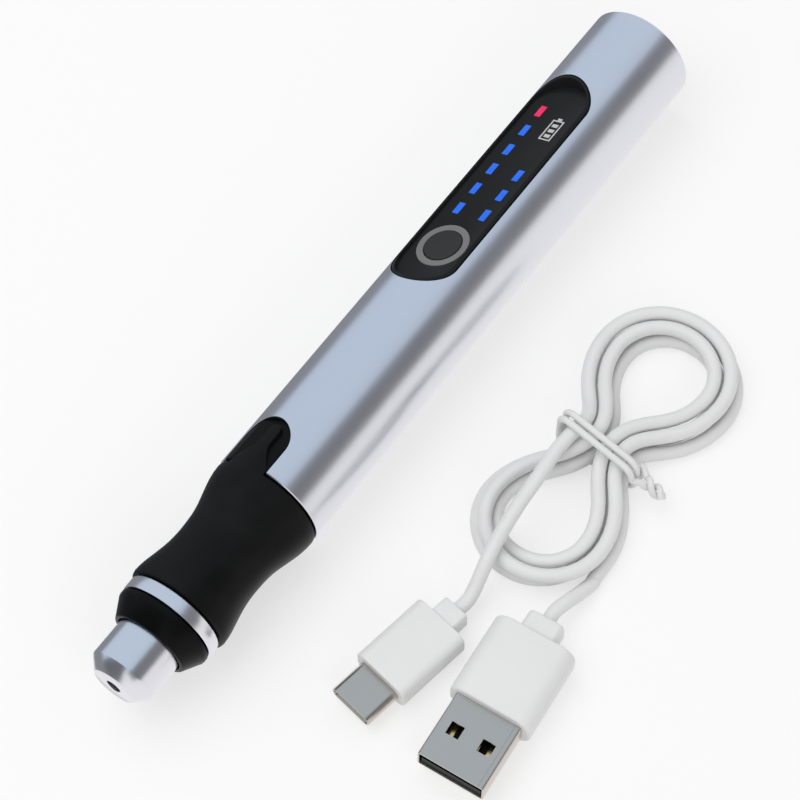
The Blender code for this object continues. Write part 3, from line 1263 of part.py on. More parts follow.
def build_large_plug(looks):
    """Flat plug: folded shell with its square windows, contact tongue, white moulding."""
    frame = plug_frame("large_plug_tip", A_TIP_X, A_TIP_Y, A_HEADING, A_BODY_HEIGHT / 2)
    rear = A_SHELL_LENGTH + PLUG_TUCK
    shell = box_tube("usb_a_shell", A_SHELL_HALF_WIDTH, A_SHELL_HALF_HEIGHT, A_SHELL_WALL, 0.0, rear,
                     looks["plug"], frame)
    windows = bmesh.new()
    high = A_SHELL_HALF_HEIGHT * 2 + OVERRUN
    for side in (-1.0, 1.0):
        add_box(windows, (A_WINDOW_SETBACK, side * A_WINDOW_SPREAD, 0.0),
                (A_WINDOW_SIZE, A_WINDOW_SIZE, high))
    combine(shell, cutter("shell_windows", windows, looks["plug"], frame), "DIFFERENCE")
    tongue = bmesh.new()
    width = (A_SHELL_HALF_WIDTH - A_SHELL_WALL - CLEAR) * 2
    low = -A_SHELL_HALF_HEIGHT + A_SHELL_WALL + RUNNING
    add_box(tongue, (rear / 2 + SOLDER, 0.0, low + A_TONGUE_HEIGHT / 2),
            (rear - SOLDER * 4, width, A_TONGUE_HEIGHT))
    solid("usb_a_contacts", tongue, looks["black"], frame, smooth=False)
    moulding("usb_a_grip", (A_BODY_LENGTH, A_BODY_WIDTH, A_BODY_HEIGHT),
             (A_COLLAR_LENGTH, A_COLLAR_WIDTH, A_COLLAR_HEIGHT), A_BODY_EDGE, A_SHELL_LENGTH,
             (A_SHELL_HALF_WIDTH + CLEAR, A_SHELL_HALF_HEIGHT + CLEAR), looks["white"], frame)


def free_lead(name, joint, joint_way, middle, plug, plug_way, looks):
    """Free stretch of cord from the hank's end to a plug's collar."""
    straight = CORD_RADIUS * 2
    start = joint + joint_way * FACE_GAP
    end = plug + plug_way * FACE_GAP
    places = [start + joint_way * straight]
    places += [Vector(place) * MM for place in middle]
    places.append(end + plug_way * straight)
    points = [start] + smooth_route(places, CORD_POINT_SPACING) + [end]
    tube(name, points, CORD_RADIUS, 2, looks["white"])
    return route_length(points)


def tie_end(first, step, side):
    """One end of the tie: it closes in on the other end and twists round it."""
    apart = TIE_RADIUS + TIE_GAP
    places = []
    for index in range(1, TIE_END_STEPS + 1):
        out = TIE_END_LENGTH * index / TIE_END_STEPS
        radius = apart + (step - apart) * (1.0 - blend(out / TIE_END_MERGE))
        angle = TIE_END_TWIST * max(out - TIE_END_MERGE, 0.0) / (TIE_END_LENGTH - TIE_END_MERGE)
        along = side * radius * math.cos(angle)
        lift = side * radius * math.sin(angle) - out * math.sin(TIE_END_DROP)
        places.append(Vector((along, first[0] - out * math.cos(TIE_END_DROP), first[1] + lift)))
    return places


def tie_route():
    """Wire tie in the hank's frame: turns round the waist, side by side, and its two ends."""
    side = CORD_RADIUS + WAIST_HALF_GAP + pitch * HANK_TURNS / 2 + TIE_DRIFT
    corner = CORD_RADIUS + TIE_CLEAR + TIE_RADIUS
    low = CORD_RADIUS + WAIST_LIFT
    step = TIE_RADIUS * 2 + TIE_GAP
    high = low + pitch + LEAVING_CLIMB * blend((LEAVING_START + step) / LEAVING_RUN)
    ring = []
    for across, up, start in ((-side, high, -math.pi), (side, high, math.pi / 2),
                              (side, low, 0.0), (-side, low, -math.pi / 2)):
        for index in range(TIE_CORNER_STEPS + 1):
            angle = start - math.pi / 2 * index / TIE_CORNER_STEPS
            ring.append((across + corner * math.cos(angle), up + corner * math.sin(angle)))
    turns = []
    for index in range(TIE_TURNS * len(ring) + 1):
        across, up = ring[index % len(ring)]
        along = step * (index / len(ring) - TIE_TURNS / 2)
        turns.append(Vector((along, across, up)))
    return tie_end(ring[0], step, -1.0)[::-1] + turns + tie_end(ring[0], step, 1.0)


def build_tie(looks):
    """Twist tie round the waist of the hank."""
    tube("cable_tie", on_table(tie_route()), TIE_RADIUS, 1, looks["white"])


def build_lead(looks):
    """Charging lead: hank, tie, two free stretches and two plugs."""
    hank = on_table(hank_route())
    tube("cable_hank", hank, CORD_RADIUS, 1, looks["white"])
    start_way = (hank[0] - hank[1]).normalized()
    end_way = (hank[-1] - hank[-2]).normalized()
    c_length = C_SHELL_LENGTH + C_BODY_LENGTH + C_COLLAR_LENGTH
    a_length = A_SHELL_LENGTH + A_BODY_LENGTH + A_COLLAR_LENGTH
    c_rear, c_way = plug_rear(C_TIP_X, C_TIP_Y, C_HEADING, C_BODY_HEIGHT / 2, c_length)
    a_rear, a_way = plug_rear(A_TIP_X, A_TIP_Y, A_HEADING, A_BODY_HEIGHT / 2, a_length)
    lead_c = free_lead("cable_lead_c", hank[-1], end_way, LEAD_C_ROUTE, c_rear, c_way, looks)
    lead_a = free_lead("cable_lead_a", hank[0], start_way, LEAD_A_ROUTE, a_rear, a_way, looks)
    build_small_plug(looks)
    build_large_plug(looks)
    build_tie(looks)
    total = route_length(hank) + lead_c + lead_a
    print("hank cord %.0f mm, least gap to itself %.2f mm" % (route_length(hank) / MM,
                                                             least_gap(hank, CORD_RADIUS) / MM))
    print("whole cord %.0f mm" % (total / MM))


def build_pen(looks):
    """All pieces of the pen under one frame on its axis."""
    axis = bpy.data.objects.new("pen_axis", None)
    bpy.context.collection.objects.link(axis)
    axis.location = (-pen_length / 2, 0.0, barrel_radius)
    axis.rotation_euler = (-PANEL_ROLL, 0.0, 0.0)
    build_barrel(axis, looks)
    build_grip(axis, looks)
    build_trim_ring(axis, looks)
    build_collar(axis, looks)
    build_chuck_nut(axis, looks)
    build_collet(axis, looks)
    build_spindle(axis, looks)
    build_shaft_line(axis, axis, looks)
    bearing("front_bearing", front_bearing, axis, axis, looks)
    bearing("rear_bearing", rear_bearing, axis, axis, looks)
    build_housing(axis, looks)
    build_motor(axis, axis, looks)
    build_panel(axis, looks)
    build_lights(axis, looks)
    build_button(axis, looks)
    build_tray(axis, looks)
    build_cell(axis, looks)
    build_board(axis, looks)
    build_rear(axis, looks)


def main():
    clear_scene()
    looks = make_finishes()
    build_pen(looks)
    build_lead(looks)
    bpy.context.view_layer.update()


main()
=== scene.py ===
# %% [markdown]
# # An electric engraving pen with its charging lead
#
# The pen is a 20 mm aluminium tube with a black control panel let into it, a soft
# waisted grip and a screw chuck at the nose. Its white charging lead lies beside
# it, wound into a tied hank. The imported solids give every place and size, and
# these cells add the surfaces that are seen. Lengths are in metres.

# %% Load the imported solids
import json
import math

import bpy
from mathutils import Matrix, Vector


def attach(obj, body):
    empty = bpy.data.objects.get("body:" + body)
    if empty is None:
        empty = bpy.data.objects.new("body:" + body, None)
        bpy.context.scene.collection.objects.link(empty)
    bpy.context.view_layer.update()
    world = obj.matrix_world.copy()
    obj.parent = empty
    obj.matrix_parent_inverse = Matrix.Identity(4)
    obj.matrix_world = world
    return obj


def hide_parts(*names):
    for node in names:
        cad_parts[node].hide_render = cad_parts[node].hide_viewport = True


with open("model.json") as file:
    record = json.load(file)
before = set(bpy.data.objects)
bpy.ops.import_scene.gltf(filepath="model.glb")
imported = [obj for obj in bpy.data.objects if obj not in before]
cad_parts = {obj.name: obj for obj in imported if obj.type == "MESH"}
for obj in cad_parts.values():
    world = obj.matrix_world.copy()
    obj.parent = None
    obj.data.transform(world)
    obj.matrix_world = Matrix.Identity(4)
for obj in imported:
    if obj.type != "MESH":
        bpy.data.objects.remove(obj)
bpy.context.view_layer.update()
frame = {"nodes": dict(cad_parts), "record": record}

# %% [markdown]
# ## The camera
#
# The photograph looks down on the pen from its nose end, about 60 degrees above
# the table. Three directions set the turn of the camera: right and up in the
# picture, and back towards the photographer.

# %% Set the camera at the photograph's angle
MM = 0.001
SENSOR_WIDTH, FOCAL_LENGTH = 36.0, 104.19
camera_place = Vector((-163.4, -117.5, 349.3)) * MM
picture_right = Vector((0.582, -0.8132, 0.0)).normalized()
picture_down = Vector((-0.709, -0.5075, -0.4898)).normalized()
picture_back = picture_right.cross(-picture_down).normalized()
picture_up = picture_back.cross(picture_right).normalized()

bpy.ops.object.select_all(action="DESELECT")
bpy.ops.object.camera_add(location=camera_place)
camera = bpy.context.object
turn_of_camera = Matrix((picture_right, picture_up, picture_back)).transposed()
camera.matrix_world = Matrix.Translation(camera_place) @ turn_of_camera.to_4x4()
camera.data.sensor_width = SENSOR_WIDTH
camera.data.lens = FOCAL_LENGTH
camera.data.clip_start = 0.01
bpy.context.scene.camera = camera
print("camera looks along", [round(value, 3) for value in -picture_back])

# %% [markdown]
# ## The cord of the charging lead
#
# The cord is 2.5 mm across and a little over half a metre long. Its hank is a
# figure of parallel loops that a tie draws together at the waist, so it has the
# outline of a bow. A track gives the innermost line, and each loop lies one pitch
# further out, square to the cord. The loops spiral in along the table, climb at
# one end and spiral out on top of themselves. From the waist each side swings out
# and back on two even curves, so that the cord never bends tighter than it can.

# %% Say how the hank lies
CORD_RADIUS = 1.25 * MM
LOBE_PITCH = CORD_RADIUS * 2 + 0.4 * MM
WAIST_PITCH = CORD_RADIUS * 2 + 0.2 * MM
LAYER = CORD_RADIUS * 2 + 0.5 * MM
HANK_TURNS = 3.5
STEPS_PER_TURN = 24
SIDE_STEPS = 3
LOBE_REACH = 17.5 * MM
LOBE_RADIUS = 7.5 * MM
WAIST = 0.1 * MM
WAIST_LIFT = 1.66 * MM
WAIST_LENGTH = 14.0 * MM
LAYER_TURN = math.radians(3.0)
HEADING_STEP = 0.002
HANK_CENTRE, HANK_TURN = (7.5 * MM, -38.0 * MM, 0.0), math.radians(-3.0)
hank_to_table = Matrix.Translation(HANK_CENTRE) @ Matrix.Rotation(HANK_TURN, 4, "Z")
print("hank of", HANK_TURNS, "turns")


def blend(share):
    """Smooth step from 0 to 1."""
    return (1.0 - math.cos(math.pi * min(max(share, 0.0), 1.0))) / 2.0


def hank_track(turns):
    """Innermost line of the hank after a number of turns, flat on the table."""
    step = (turns % 1.0) * STEPS_PER_TURN
    half = STEPS_PER_TURN / 2
    side = "right" if step < half else "left"
    step %= half
    if step <= SIDE_STEPS or step >= half - SIDE_STEPS:
        leaving = step <= SIDE_STEPS
        share = (step if leaving else half - step) / SIDE_STEPS
        spread = 2.0 * share ** 2 if share < 0.5 else 1.0 - 2.0 * (1.0 - share) ** 2
        along = LOBE_REACH * share
        across = (WAIST + (LOBE_RADIUS - WAIST) * spread) * (1.0 if leaving else -1.0)
    else:
        angle = math.pi * (step - SIDE_STEPS) / (half - SIDE_STEPS * 2)
        along = LOBE_REACH + LOBE_RADIUS * math.sin(angle)
        across = LOBE_RADIUS * math.cos(angle)
    return Vector((along, -across, 0.0)) if side == "right" else Vector((-along, across, 0.0))


def hank_place(turns):
    """Centre line of the cord in the hank: moved out by its loop and up by its layer."""
    heading = (hank_track(turns + HEADING_STEP) - hank_track(turns - HEADING_STEP)).normalized()
    outward = Vector((heading.y, -heading.x, 0.0))
    place = hank_track(turns)
    from_waist = blend(abs(place.x) / WAIST_LENGTH)
    pitch = WAIST_PITCH + (LOBE_PITCH - WAIST_PITCH) * from_waist
    place += outward * pitch * abs(turns - HANK_TURNS / 2)
    climb = blend((turns - HANK_TURNS / 2) * 2.0 + 0.5)
    lift = WAIST_LIFT * (1.0 - from_waist)
    place.rotate(Matrix.Rotation(LAYER_TURN * (climb - 0.5), 3, "Z"))
    place.z = CORD_RADIUS + lift + LAYER * climb
    return place


# %% [markdown]
# The two ends run free to the plugs. A smooth curve through a few chosen places,
# in millimetres, carries each of them, straight for a little way where it leaves
# the hank and where it enters a plug. The end on top rises to pass over the loops.

# %% Work out the whole route of the cord
C_TIP, C_HEADING, C_LENGTH, C_HEIGHT = (-55.5, -30.5), math.radians(170.0), 24.05, 2.7
A_TIP, A_HEADING, A_LENGTH, A_HEIGHT = (-56.0, -50.3), math.radians(184.0), 30.6, 3.7
ROUTE_C = [(-6.0, -33.0, 7.7), (-12.0, -33.2, 7.4), (-17.5, -33.7, 7.3),
           (-21.7, -34.2, 6.5), (-24.7, -34.65, 4.9), (-27.2, -35.0, 3.4)]
ROUTE_A = [(-14.3, -49.7, 1.35), (-17.2, -49.2, 2.1), (-20.2, -48.6, 3.3)]
END_RISE, RISE_REACH = 2.1 * MM, 5.0 * MM
HANK_TAIL = 5.3 * MM
PLUG_DEPTH = 1.0 * MM
FINE = 4


def plug_end(tip, heading, length, height):
    """Where the cord enters a plug, and the direction back from it."""
    back = Vector((-math.cos(heading), -math.sin(heading), 0.0))
    return (Vector((*tip, height)) + back * length) * MM, back


def smooth(points, parts=8):
    """A curve through all the points, in even parts between each two."""
    padded = [points[0] * 2 - points[1]] + points + [points[-1] * 2 - points[-2]]
    result = []
    for index in range(1, len(padded) - 2):
        before, start, end, after = padded[index - 1:index + 3]
        for part in range(parts):
            t = part / parts
            second = before * 2 - start * 5 + end * 4 - after
            third = start * 3 - before - end * 3 + after
            place = start * 2 + (end - before) * t + second * t ** 2 + third * t ** 3
            result.append(place / 2)
    return result + [points[-1]]


def end_rise(along):
    """Height of the last run over its layer, at a place along the hank."""
    return END_RISE * blend((RISE_REACH - along) / (RISE_REACH * 2))


steps = range(-SIDE_STEPS * FINE, round(HANK_TURNS * STEPS_PER_TURN) * FINE + 1)
hank = [hank_place(index / STEPS_PER_TURN / FINE) for index in steps]
end = hank[-1].copy()
for part in range(1, FINE + 1):
    hank.append(end - Vector((HANK_TAIL * part / FINE, 0.0, 0.0)))
for point in hank[-FINE * 2:]:
    point.z += end_rise(point.x)
hank_points = [hank_to_table @ point for point in hank]
first_way = (hank_points[0] - hank_points[1]).normalized()
last_way = (hank_points[-1] - hank_points[-2]).normalized()
last_way = Vector((last_way.x, last_way.y, 0.0)).normalized()

c_end, c_back = plug_end(C_TIP, C_HEADING, C_LENGTH, C_HEIGHT)
a_end, a_back = plug_end(A_TIP, A_HEADING, A_LENGTH, A_HEIGHT)
straight = CORD_RADIUS * 2
lead_c = [hank_points[-1], hank_points[-1] + last_way * straight]
lead_c += [Vector(place) * MM for place in ROUTE_C]
lead_c += [c_end + c_back * straight, c_end, c_end - c_back * PLUG_DEPTH]
lead_a = [hank_points[0], hank_points[0] + first_way * straight]
lead_a += [Vector(place) * MM for place in ROUTE_A]
lead_a += [a_end + a_back * straight, a_end, a_end - a_back * PLUG_DEPTH]
cord_points = list(reversed(smooth(lead_a)))[:-1] + hank_points + smooth(lead_c)[1:]

# %% [markdown]
# A curve with a round section is the plainest way to make a cord: it keeps one
# thickness along the whole route, and its caps close the ends. The section is
# 1 m in radius and each point shrinks it to the cord's own, because Blender adds
# the radius of the points, not the section's, to the box of a curve.

# %% Make the cord
def round_curve(name, points, radius, around):
    """A curve of one thickness through the points, with closed ends."""
    curve = bpy.data.curves.new(name, "CURVE")
    curve.dimensions = "3D"
    curve.bevel_depth = 1.0
    curve.bevel_resolution = around
    curve.use_fill_caps = True
    line = curve.splines.new("POLY")
    line.points.add(len(points) - 1)
    for spot, place in zip(line.points, points):
        spot.co = (*place, 1.0)
        spot.radius = radius
    line.use_smooth = True
    piece = bpy.data.objects.new(name, curve)
    bpy.context.collection.objects.link(piece)
    return piece


cord = round_curve("charging_cord", cord_points, CORD_RADIUS, 6)
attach(cord, "pen")
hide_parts("cable_hank", "cable_lead_a", "cable_lead_c")
print(cord.name, "stands for the hank and both leads")

# %% [markdown]
# The twist tie is a thin coated wire that goes twice round the waist of the hank,
# tight under and beside the loops and slanting up over the end on top. Its two
# ends are twisted together for a few millimetres and stand off, away from the pen.

# %% Make the tie
TIE_RADIUS = 0.6 * MM
TIE_STEP = 1.6 * MM
TIE_PLACE = -2.0 * MM
TIE_SLACK, TIE_GAP, TIE_OFF_TABLE = 0.85 * MM, 0.15 * MM, 0.05 * MM
CORNER_STEPS, END_STEPS = 8, 24
END_LENGTH, END_CLOSING, END_DROP = 6.0 * MM, 2.0 * MM, math.radians(20.0)
TWIST_RADIUS, TWIST_TURN = 0.72 * MM, math.radians(330.0)
tie_side = WAIST + WAIST_PITCH * HANK_TURNS / 2 + TIE_SLACK
tie_corner = CORD_RADIUS + TIE_GAP + TIE_RADIUS
tie_low = tie_corner + TIE_RADIUS + TIE_OFF_TABLE
tie_high = CORD_RADIUS + WAIST_LIFT + LAYER
ring = []
for across, up, start in ((-tie_side, tie_high, -math.pi),
                          (tie_side, tie_high + end_rise(TIE_PLACE - TIE_STEP), math.pi / 2),
                          (tie_side, tie_low, 0.0), (-tie_side, tie_low, -math.pi / 2)):
    for index in range(CORNER_STEPS + 1):
        angle = start - math.pi / 2 * index / CORNER_STEPS
        ring.append((across + tie_corner * math.cos(angle), up + tie_corner * math.sin(angle)))


def tie_end(side):
    """One end: it closes in on the other, and then twists round it."""
    places = []
    for index in range(1, END_STEPS + 1):
        out = END_LENGTH * index / END_STEPS
        closed = blend(out / END_CLOSING)
        radius = TWIST_RADIUS + (TIE_STEP - TWIST_RADIUS) * (1.0 - closed)
        angle = TWIST_TURN * max(out - END_CLOSING, 0.0) / (END_LENGTH - END_CLOSING)
        lift = side * radius * math.sin(angle) - out * math.sin(END_DROP)
        reach = ring[0][0] - out * math.cos(END_DROP)
        along = TIE_PLACE + side * radius * math.cos(angle)
        places.append(Vector((along, reach, ring[0][1] + lift)))
    return places


tie_turns = []
for index in range(len(ring) * 2 + 1):
    across, up = ring[index % len(ring)]
    tie_turns.append(Vector((TIE_PLACE + TIE_STEP * (index / len(ring) - 1.0), across, up)))
tie_route = tie_end(-1.0)[::-1] + tie_turns + tie_end(1.0)
tie_points = [hank_to_table @ place for place in tie_route]
tie = round_curve("cable_twist_tie", tie_points, TIE_RADIUS, 4)
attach(tie, "pen")
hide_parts("cable_tie")
print("tie of", len(tie_points), "points, twice round and twisted")

# %% [markdown]
# ## Tools for turned and pressed pieces
#
# Stations are counted in millimetres from the tip of the nose, sides and heights
# from the pen's axis. Most of the pen is turned on a lathe. A circle is set at the
# first station and pushed along the axis ring by ring, and each ring is resized to
# its radius, as one would do it by hand in edit mode. A modifier can turn a drawn
# line too, but so every ring stays in sight. Upright pieces, such as the button,
# are made in the same way along Z.

# %% Define the lathe
AXIS = 10.0 * MM
HALF_LENGTH = 76.65 * MM
ROLL = math.radians(23.3)
WELD = 0.001 * MM


def deselect():
    bpy.ops.object.select_all(action="DESELECT")


def pick(*pieces):
    """Select only these pieces, with the first one active."""
    deselect()
    for piece in pieces:
        piece.select_set(True)
    bpy.context.view_layer.objects.active = pieces[0]


def join(name, pieces):
    """Join pieces into the first one."""
    pick(*pieces)
    bpy.ops.object.join()
    pieces[0].name = name
    return pieces[0]


def settle(piece):
    """Put the piece's place into its mesh."""
    pick(piece)
    bpy.ops.object.transform_apply(location=True, rotation=True, scale=True)


def shade(piece, degrees=35.0):
    """Smooth all but the edges sharper than an angle."""
    pick(piece)
    bpy.ops.object.shade_smooth_by_angle(angle=math.radians(degrees))


def lathe(name, outline, sides=96, upright_at=None):
    """Turn an outline of (station, radius), or of (height, radius) upright at a station."""
    deselect()
    upright = upright_at is not None
    along = Vector((0.0, 0.0, 1.0)) if upright else Vector((1.0, 0.0, 0.0))
    foot = Vector((upright_at * MM - HALF_LENGTH if upright else -HALF_LENGTH, 0.0, AXIS))
    turn = (0.0, 0.0, 0.0) if upright else (0.0, math.pi / 2, 0.0)
    station, radius = outline[0]
    bpy.ops.mesh.primitive_circle_add(vertices=sides, radius=radius * MM, fill_type="NOTHING",
                                      location=foot + along * station * MM, rotation=turn)
    piece = bpy.context.object
    piece.name = name
    bpy.ops.object.mode_set(mode="EDIT")
    bpy.ops.mesh.select_all(action="SELECT")
    for (old, old_radius), (new, new_radius) in zip(outline, outline[1:]):
        step = along * (new - old) * MM
        bpy.ops.mesh.extrude_region_move(TRANSFORM_OT_translate={"value": step})
        if new_radius == 0.0:
            bpy.ops.mesh.merge(type="CENTER")
        elif new_radius != old_radius:
            size = new_radius / old_radius
            value = (size, size, 1.0) if upright else (1.0, size, size)
            bpy.ops.transform.resize(value=value, center_override=foot + along * new * MM)
    bpy.ops.mesh.select_all(action="SELECT")
    bpy.ops.mesh.remove_doubles(threshold=WELD)
    if outline[0] != outline[-1] and outline[-1][1] == 0.0:
        bpy.ops.mesh.select_all(action="DESELECT")
        bpy.ops.mesh.select_non_manifold()
        bpy.ops.mesh.edge_face_add()
    bpy.ops.mesh.select_all(action="SELECT")
    bpy.ops.mesh.normals_make_consistent(inside=False)
    bpy.ops.object.mode_set(mode="OBJECT")
    settle(piece)
    shade(piece)
    return piece


def apply_modifier(piece, kind, **values):
    """Add a modifier with these values and apply it."""
    pick(piece)
    modifier = piece.modifiers.new(kind.lower(), kind)
    for key, value in values.items():
        setattr(modifier, key, value)
    bpy.ops.object.modifier_apply(modifier=modifier.name)


def soften(piece, width, segments=3, degrees=40.0):
    """Round the sharp edges of a piece."""
    apply_modifier(piece, "BEVEL", width=width * MM, segments=segments, limit_method="ANGLE",
                   angle_limit=math.radians(degrees))
    shade(piece)


def cut(piece, tool, operation="DIFFERENCE"):
    """Cut a piece with another, which is used up."""
    apply_modifier(piece, "BOOLEAN", operation=operation, solver="EXACT", object=tool)
    bpy.data.objects.remove(tool, do_unlink=True)


def roll(piece):
    """Turn a piece about the pen's axis, from upright to where the panel faces."""
    bpy.context.scene.cursor.location = (0.0, 0.0, AXIS)
    pick(piece)
    bpy.ops.object.origin_set(type="ORIGIN_CURSOR")
    piece.rotation_euler.x = -ROLL
    settle(piece)
    bpy.context.scene.cursor.location = (0.0, 0.0, 0.0)


def wear(piece, body, slot, material, *nodes):
    """Give a finished piece its body and its material, and hide the solids it stands for. The
    slot is not used.
    """
    piece.data.materials.clear()
    piece.data.materials.append(material)
    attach(piece, body)
    if nodes:
        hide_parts(*nodes)
    print(piece.name, "has", len(piece.data.polygons), "faces")


# %% [markdown]
# Two plain solids serve as pieces and as cutting tools: a block and a round bar. A
# slot with round ends, such as the one for the panel, is a circle of which one
# half is moved away and then pushed up into a prism.

# %% Define the block, the round bar and the prism with round ends
CROWN_LENGTH = 160.0


def block(name, centre, size):
    """A box by its centre and size in millimetres, with its place in its mesh."""
    deselect()
    bpy.ops.mesh.primitive_cube_add(size=1.0, location=Vector(centre) * MM)
    piece = bpy.context.object
    piece.name = name
    piece.scale = Vector(size) * MM
    settle(piece)
    return piece


def panel_block(name, station, side, height, size):
    """A block on the pen, by its station, its side and its height."""
    return block(name, (station - HALF_LENGTH / MM, side, AXIS / MM + height), size)


def round_bar(name, place, radius, length, turn=(0.0, 0.0, 0.0), sides=160):
    """A closed round bar, upright if it isn't turned."""
    deselect()
    bpy.ops.mesh.primitive_cylinder_add(vertices=sides, radius=radius * MM, depth=length * MM,
                                        location=place, rotation=turn)
    bar = bpy.context.object
    bar.name = name
    settle(bar)
    return bar


def crown(piece, radius):
    """Trim a piece to a round about the pen's axis."""
    bar = round_bar("crown_tool", (0.0, 0.0, AXIS), radius, CROWN_LENGTH,
                    turn=(0.0, math.pi / 2, 0.0))
    cut(piece, bar, "INTERSECT")


def bisect(station, **options):
    """Cut the mesh in edit mode square to the axis."""
    bpy.ops.mesh.select_all(action="SELECT")
    bpy.ops.mesh.bisect(plane_co=(station * MM - HALF_LENGTH, 0.0, AXIS),
                        plane_no=(1.0, 0.0, 0.0), **options)


def oval_prism(name, front, rear, half_width, low, high, sides=96):
    """A closed prism with round ends: stations, half a width and two heights."""
    deselect()
    centre = Vector(((front + half_width) * MM - HALF_LENGTH, 0.0, AXIS + low * MM))
    bpy.ops.mesh.primitive_circle_add(
        vertices=sides, radius=half_width * MM, fill_type="NGON", location=centre,
        rotation=(0.0, 0.0, math.pi / sides))
    piece = bpy.context.object
    piece.name = name
    settle(piece)
    for vertex in piece.data.vertices:
        vertex.select = vertex.co.x > centre.x
    for part in list(piece.data.edges) + list(piece.data.polygons):
        part.select = False
    bpy.ops.object.mode_set(mode="EDIT")
    bpy.ops.mesh.select_mode(type="VERT")
    bpy.ops.transform.translate(value=((rear - front - half_width * 2) * MM, 0.0, 0.0))
    bpy.ops.mesh.select_all(action="SELECT")
    push = (0.0, 0.0, (high - low) * MM)
    bpy.ops.mesh.extrude_region_move(TRANSFORM_OT_translate={"value": push})
    bpy.ops.mesh.select_all(action="SELECT")
    bpy.ops.mesh.normals_make_consistent(inside=False)
    bpy.ops.object.mode_set(mode="OBJECT")
    return piece


# %% [markdown]
# ## Finishes
#
# Every surface has a grain. One shader group makes it from noise in the object's
# own coordinates: a fine height for a bump and a soft mask that shifts colour and
# roughness a little. Each material places the group with its own scale.

# %% Build the grain group
grain_group = bpy.data.node_groups.new("surface_grain", "ShaderNodeTree")
for socket, kind, default in (("Scale", "NodeSocketFloat", 2000.0),
                              ("Stretch", "NodeSocketVector", (1, 1, 1)),
                              ("Patch Scale", "NodeSocketFloat", 60.0)):
    item = grain_group.interface.new_socket(name=socket, in_out="INPUT", socket_type=kind)
    item.default_value = default
for socket in ("Height", "Mask"):
    grain_group.interface.new_socket(name=socket, in_out="OUTPUT", socket_type="NodeSocketFloat")
nodes, links = grain_group.nodes, grain_group.links
group_in, group_out = nodes.new("NodeGroupInput"), nodes.new("NodeGroupOutput")
place = nodes.new("ShaderNodeTexCoord")
stretch = nodes.new("ShaderNodeMapping")
fine_noise, patch_noise = nodes.new("ShaderNodeTexNoise"), nodes.new("ShaderNodeTexNoise")
fine_noise.inputs["Detail"].default_value = 3.0
patch_noise.inputs["Detail"].default_value = 2.0
links.new(place.outputs["Object"], stretch.inputs["Vector"])
links.new(group_in.outputs["Stretch"], stretch.inputs["Scale"])
links.new(stretch.outputs["Vector"], fine_noise.inputs["Vector"])
links.new(place.outputs["Object"], patch_noise.inputs["Vector"])
links.new(group_in.outputs["Scale"], fine_noise.inputs["Scale"])
links.new(group_in.outputs["Patch Scale"], patch_noise.inputs["Scale"])
links.new(fine_noise.outputs["Fac"], group_out.inputs["Height"])
links.new(patch_noise.outputs["Fac"], group_out.inputs["Mask"])
print(grain_group.name, "has", len(nodes), "nodes")


def finish(name, colour, second, rough, metallic=0.0, scale=2000.0, stretch=(1.0, 1.0, 1.0),
           patch=60.0, depth=0.01, glow=0.0, specular=0.5):
    """A material whose colour and roughness drift between two values over the surface."""
    material = bpy.data.materials.new(name)
    material.use_nodes = True
    tree = material.node_tree
    shader = tree.nodes["Principled BSDF"]
    grain = tree.nodes.new("ShaderNodeGroup")
    grain.node_tree = grain_group
    grain.inputs["Scale"].default_value = scale
    grain.inputs["Stretch"].default_value = stretch
    grain.inputs["Patch Scale"].default_value = patch
    colours = tree.nodes.new("ShaderNodeMix")
    colours.data_type = "RGBA"
    colours.inputs["A"].default_value = (*colour, 1.0)
    colours.inputs["B"].default_value = (*second, 1.0)
    roughness = tree.nodes.new("ShaderNodeMapRange")
    roughness.inputs["From Min"].default_value = 0.3
    roughness.inputs["From Max"].default_value = 0.7
    roughness.inputs["To Min"].default_value = rough[0]
    roughness.inputs["To Max"].default_value = rough[1]
    bump = tree.nodes.new("ShaderNodeBump")
    bump.inputs["Distance"].default_value = depth * MM
    bump.inputs["Strength"].default_value = 1.0
    tree.links.new(grain.outputs["Mask"], colours.inputs["Factor"])
    tree.links.new(colours.outputs["Result"], shader.inputs["Base Color"])
    tree.links.new(grain.outputs["Mask"], roughness.inputs["Value"])
    tree.links.new(roughness.outputs["Result"], shader.inputs["Roughness"])
    tree.links.new(grain.outputs["Height"], bump.inputs["Height"])
    tree.links.new(bump.outputs["Normal"], shader.inputs["Normal"])
    shader.inputs["Metallic"].default_value = metallic
    shader.inputs["Specular IOR Level"].default_value = specular
    if glow:
        tree.links.new(colours.outputs["Result"], shader.inputs["Emission Color"])
        shader.inputs["Emission Strength"].default_value = glow
    return material


def grey(value):
    """A colour without a tint."""
    return (value, value, value)


# %% [markdown]
# The outside has few finishes: blasted and anodised aluminium, a brighter satin
# metal at the nose, soft black rubber with painted highlights, matt and glossy black
# plastic, and the white plastics of the lead. Inside are the usual ones of a small motor tool.

# %% Mix the finishes
anodised = finish("anodised_aluminium", (0.725, 0.72, 0.775), (0.75, 0.745, 0.80), (0.27, 0.31),
                  1.0, scale=9000.0, stretch=(0.4, 1.0, 1.0), patch=40.0, depth=0.004)
nose_metal = finish("satin_nose_metal", (0.74, 0.735, 0.785), (0.77, 0.765, 0.81), (0.24, 0.28),
                    1.0, scale=4000.0, stretch=(1.0, 0.15, 0.15), patch=90.0, depth=0.004)
# The rubber's colour drifts in soft blotches from near black to dark grey: painted soft
# highlights of the grip's sheen. Its roughness drift is real grain.
rubber = finish("black_rubber", grey(0.001), grey(0.013), (0.36, 0.46), scale=5000.0,
                patch=120.0, depth=0.012, specular=0.08)
black_plastic = finish("black_plastic", grey(0.002), grey(0.005), (0.30, 0.38), scale=6000.0,
                       patch=100.0, depth=0.006, specular=0.08)
panel_black = finish("panel_gloss_black", grey(0.012), grey(0.015), (0.16, 0.22), scale=3000.0,
                     patch=80.0, depth=0.001, specular=0.10)
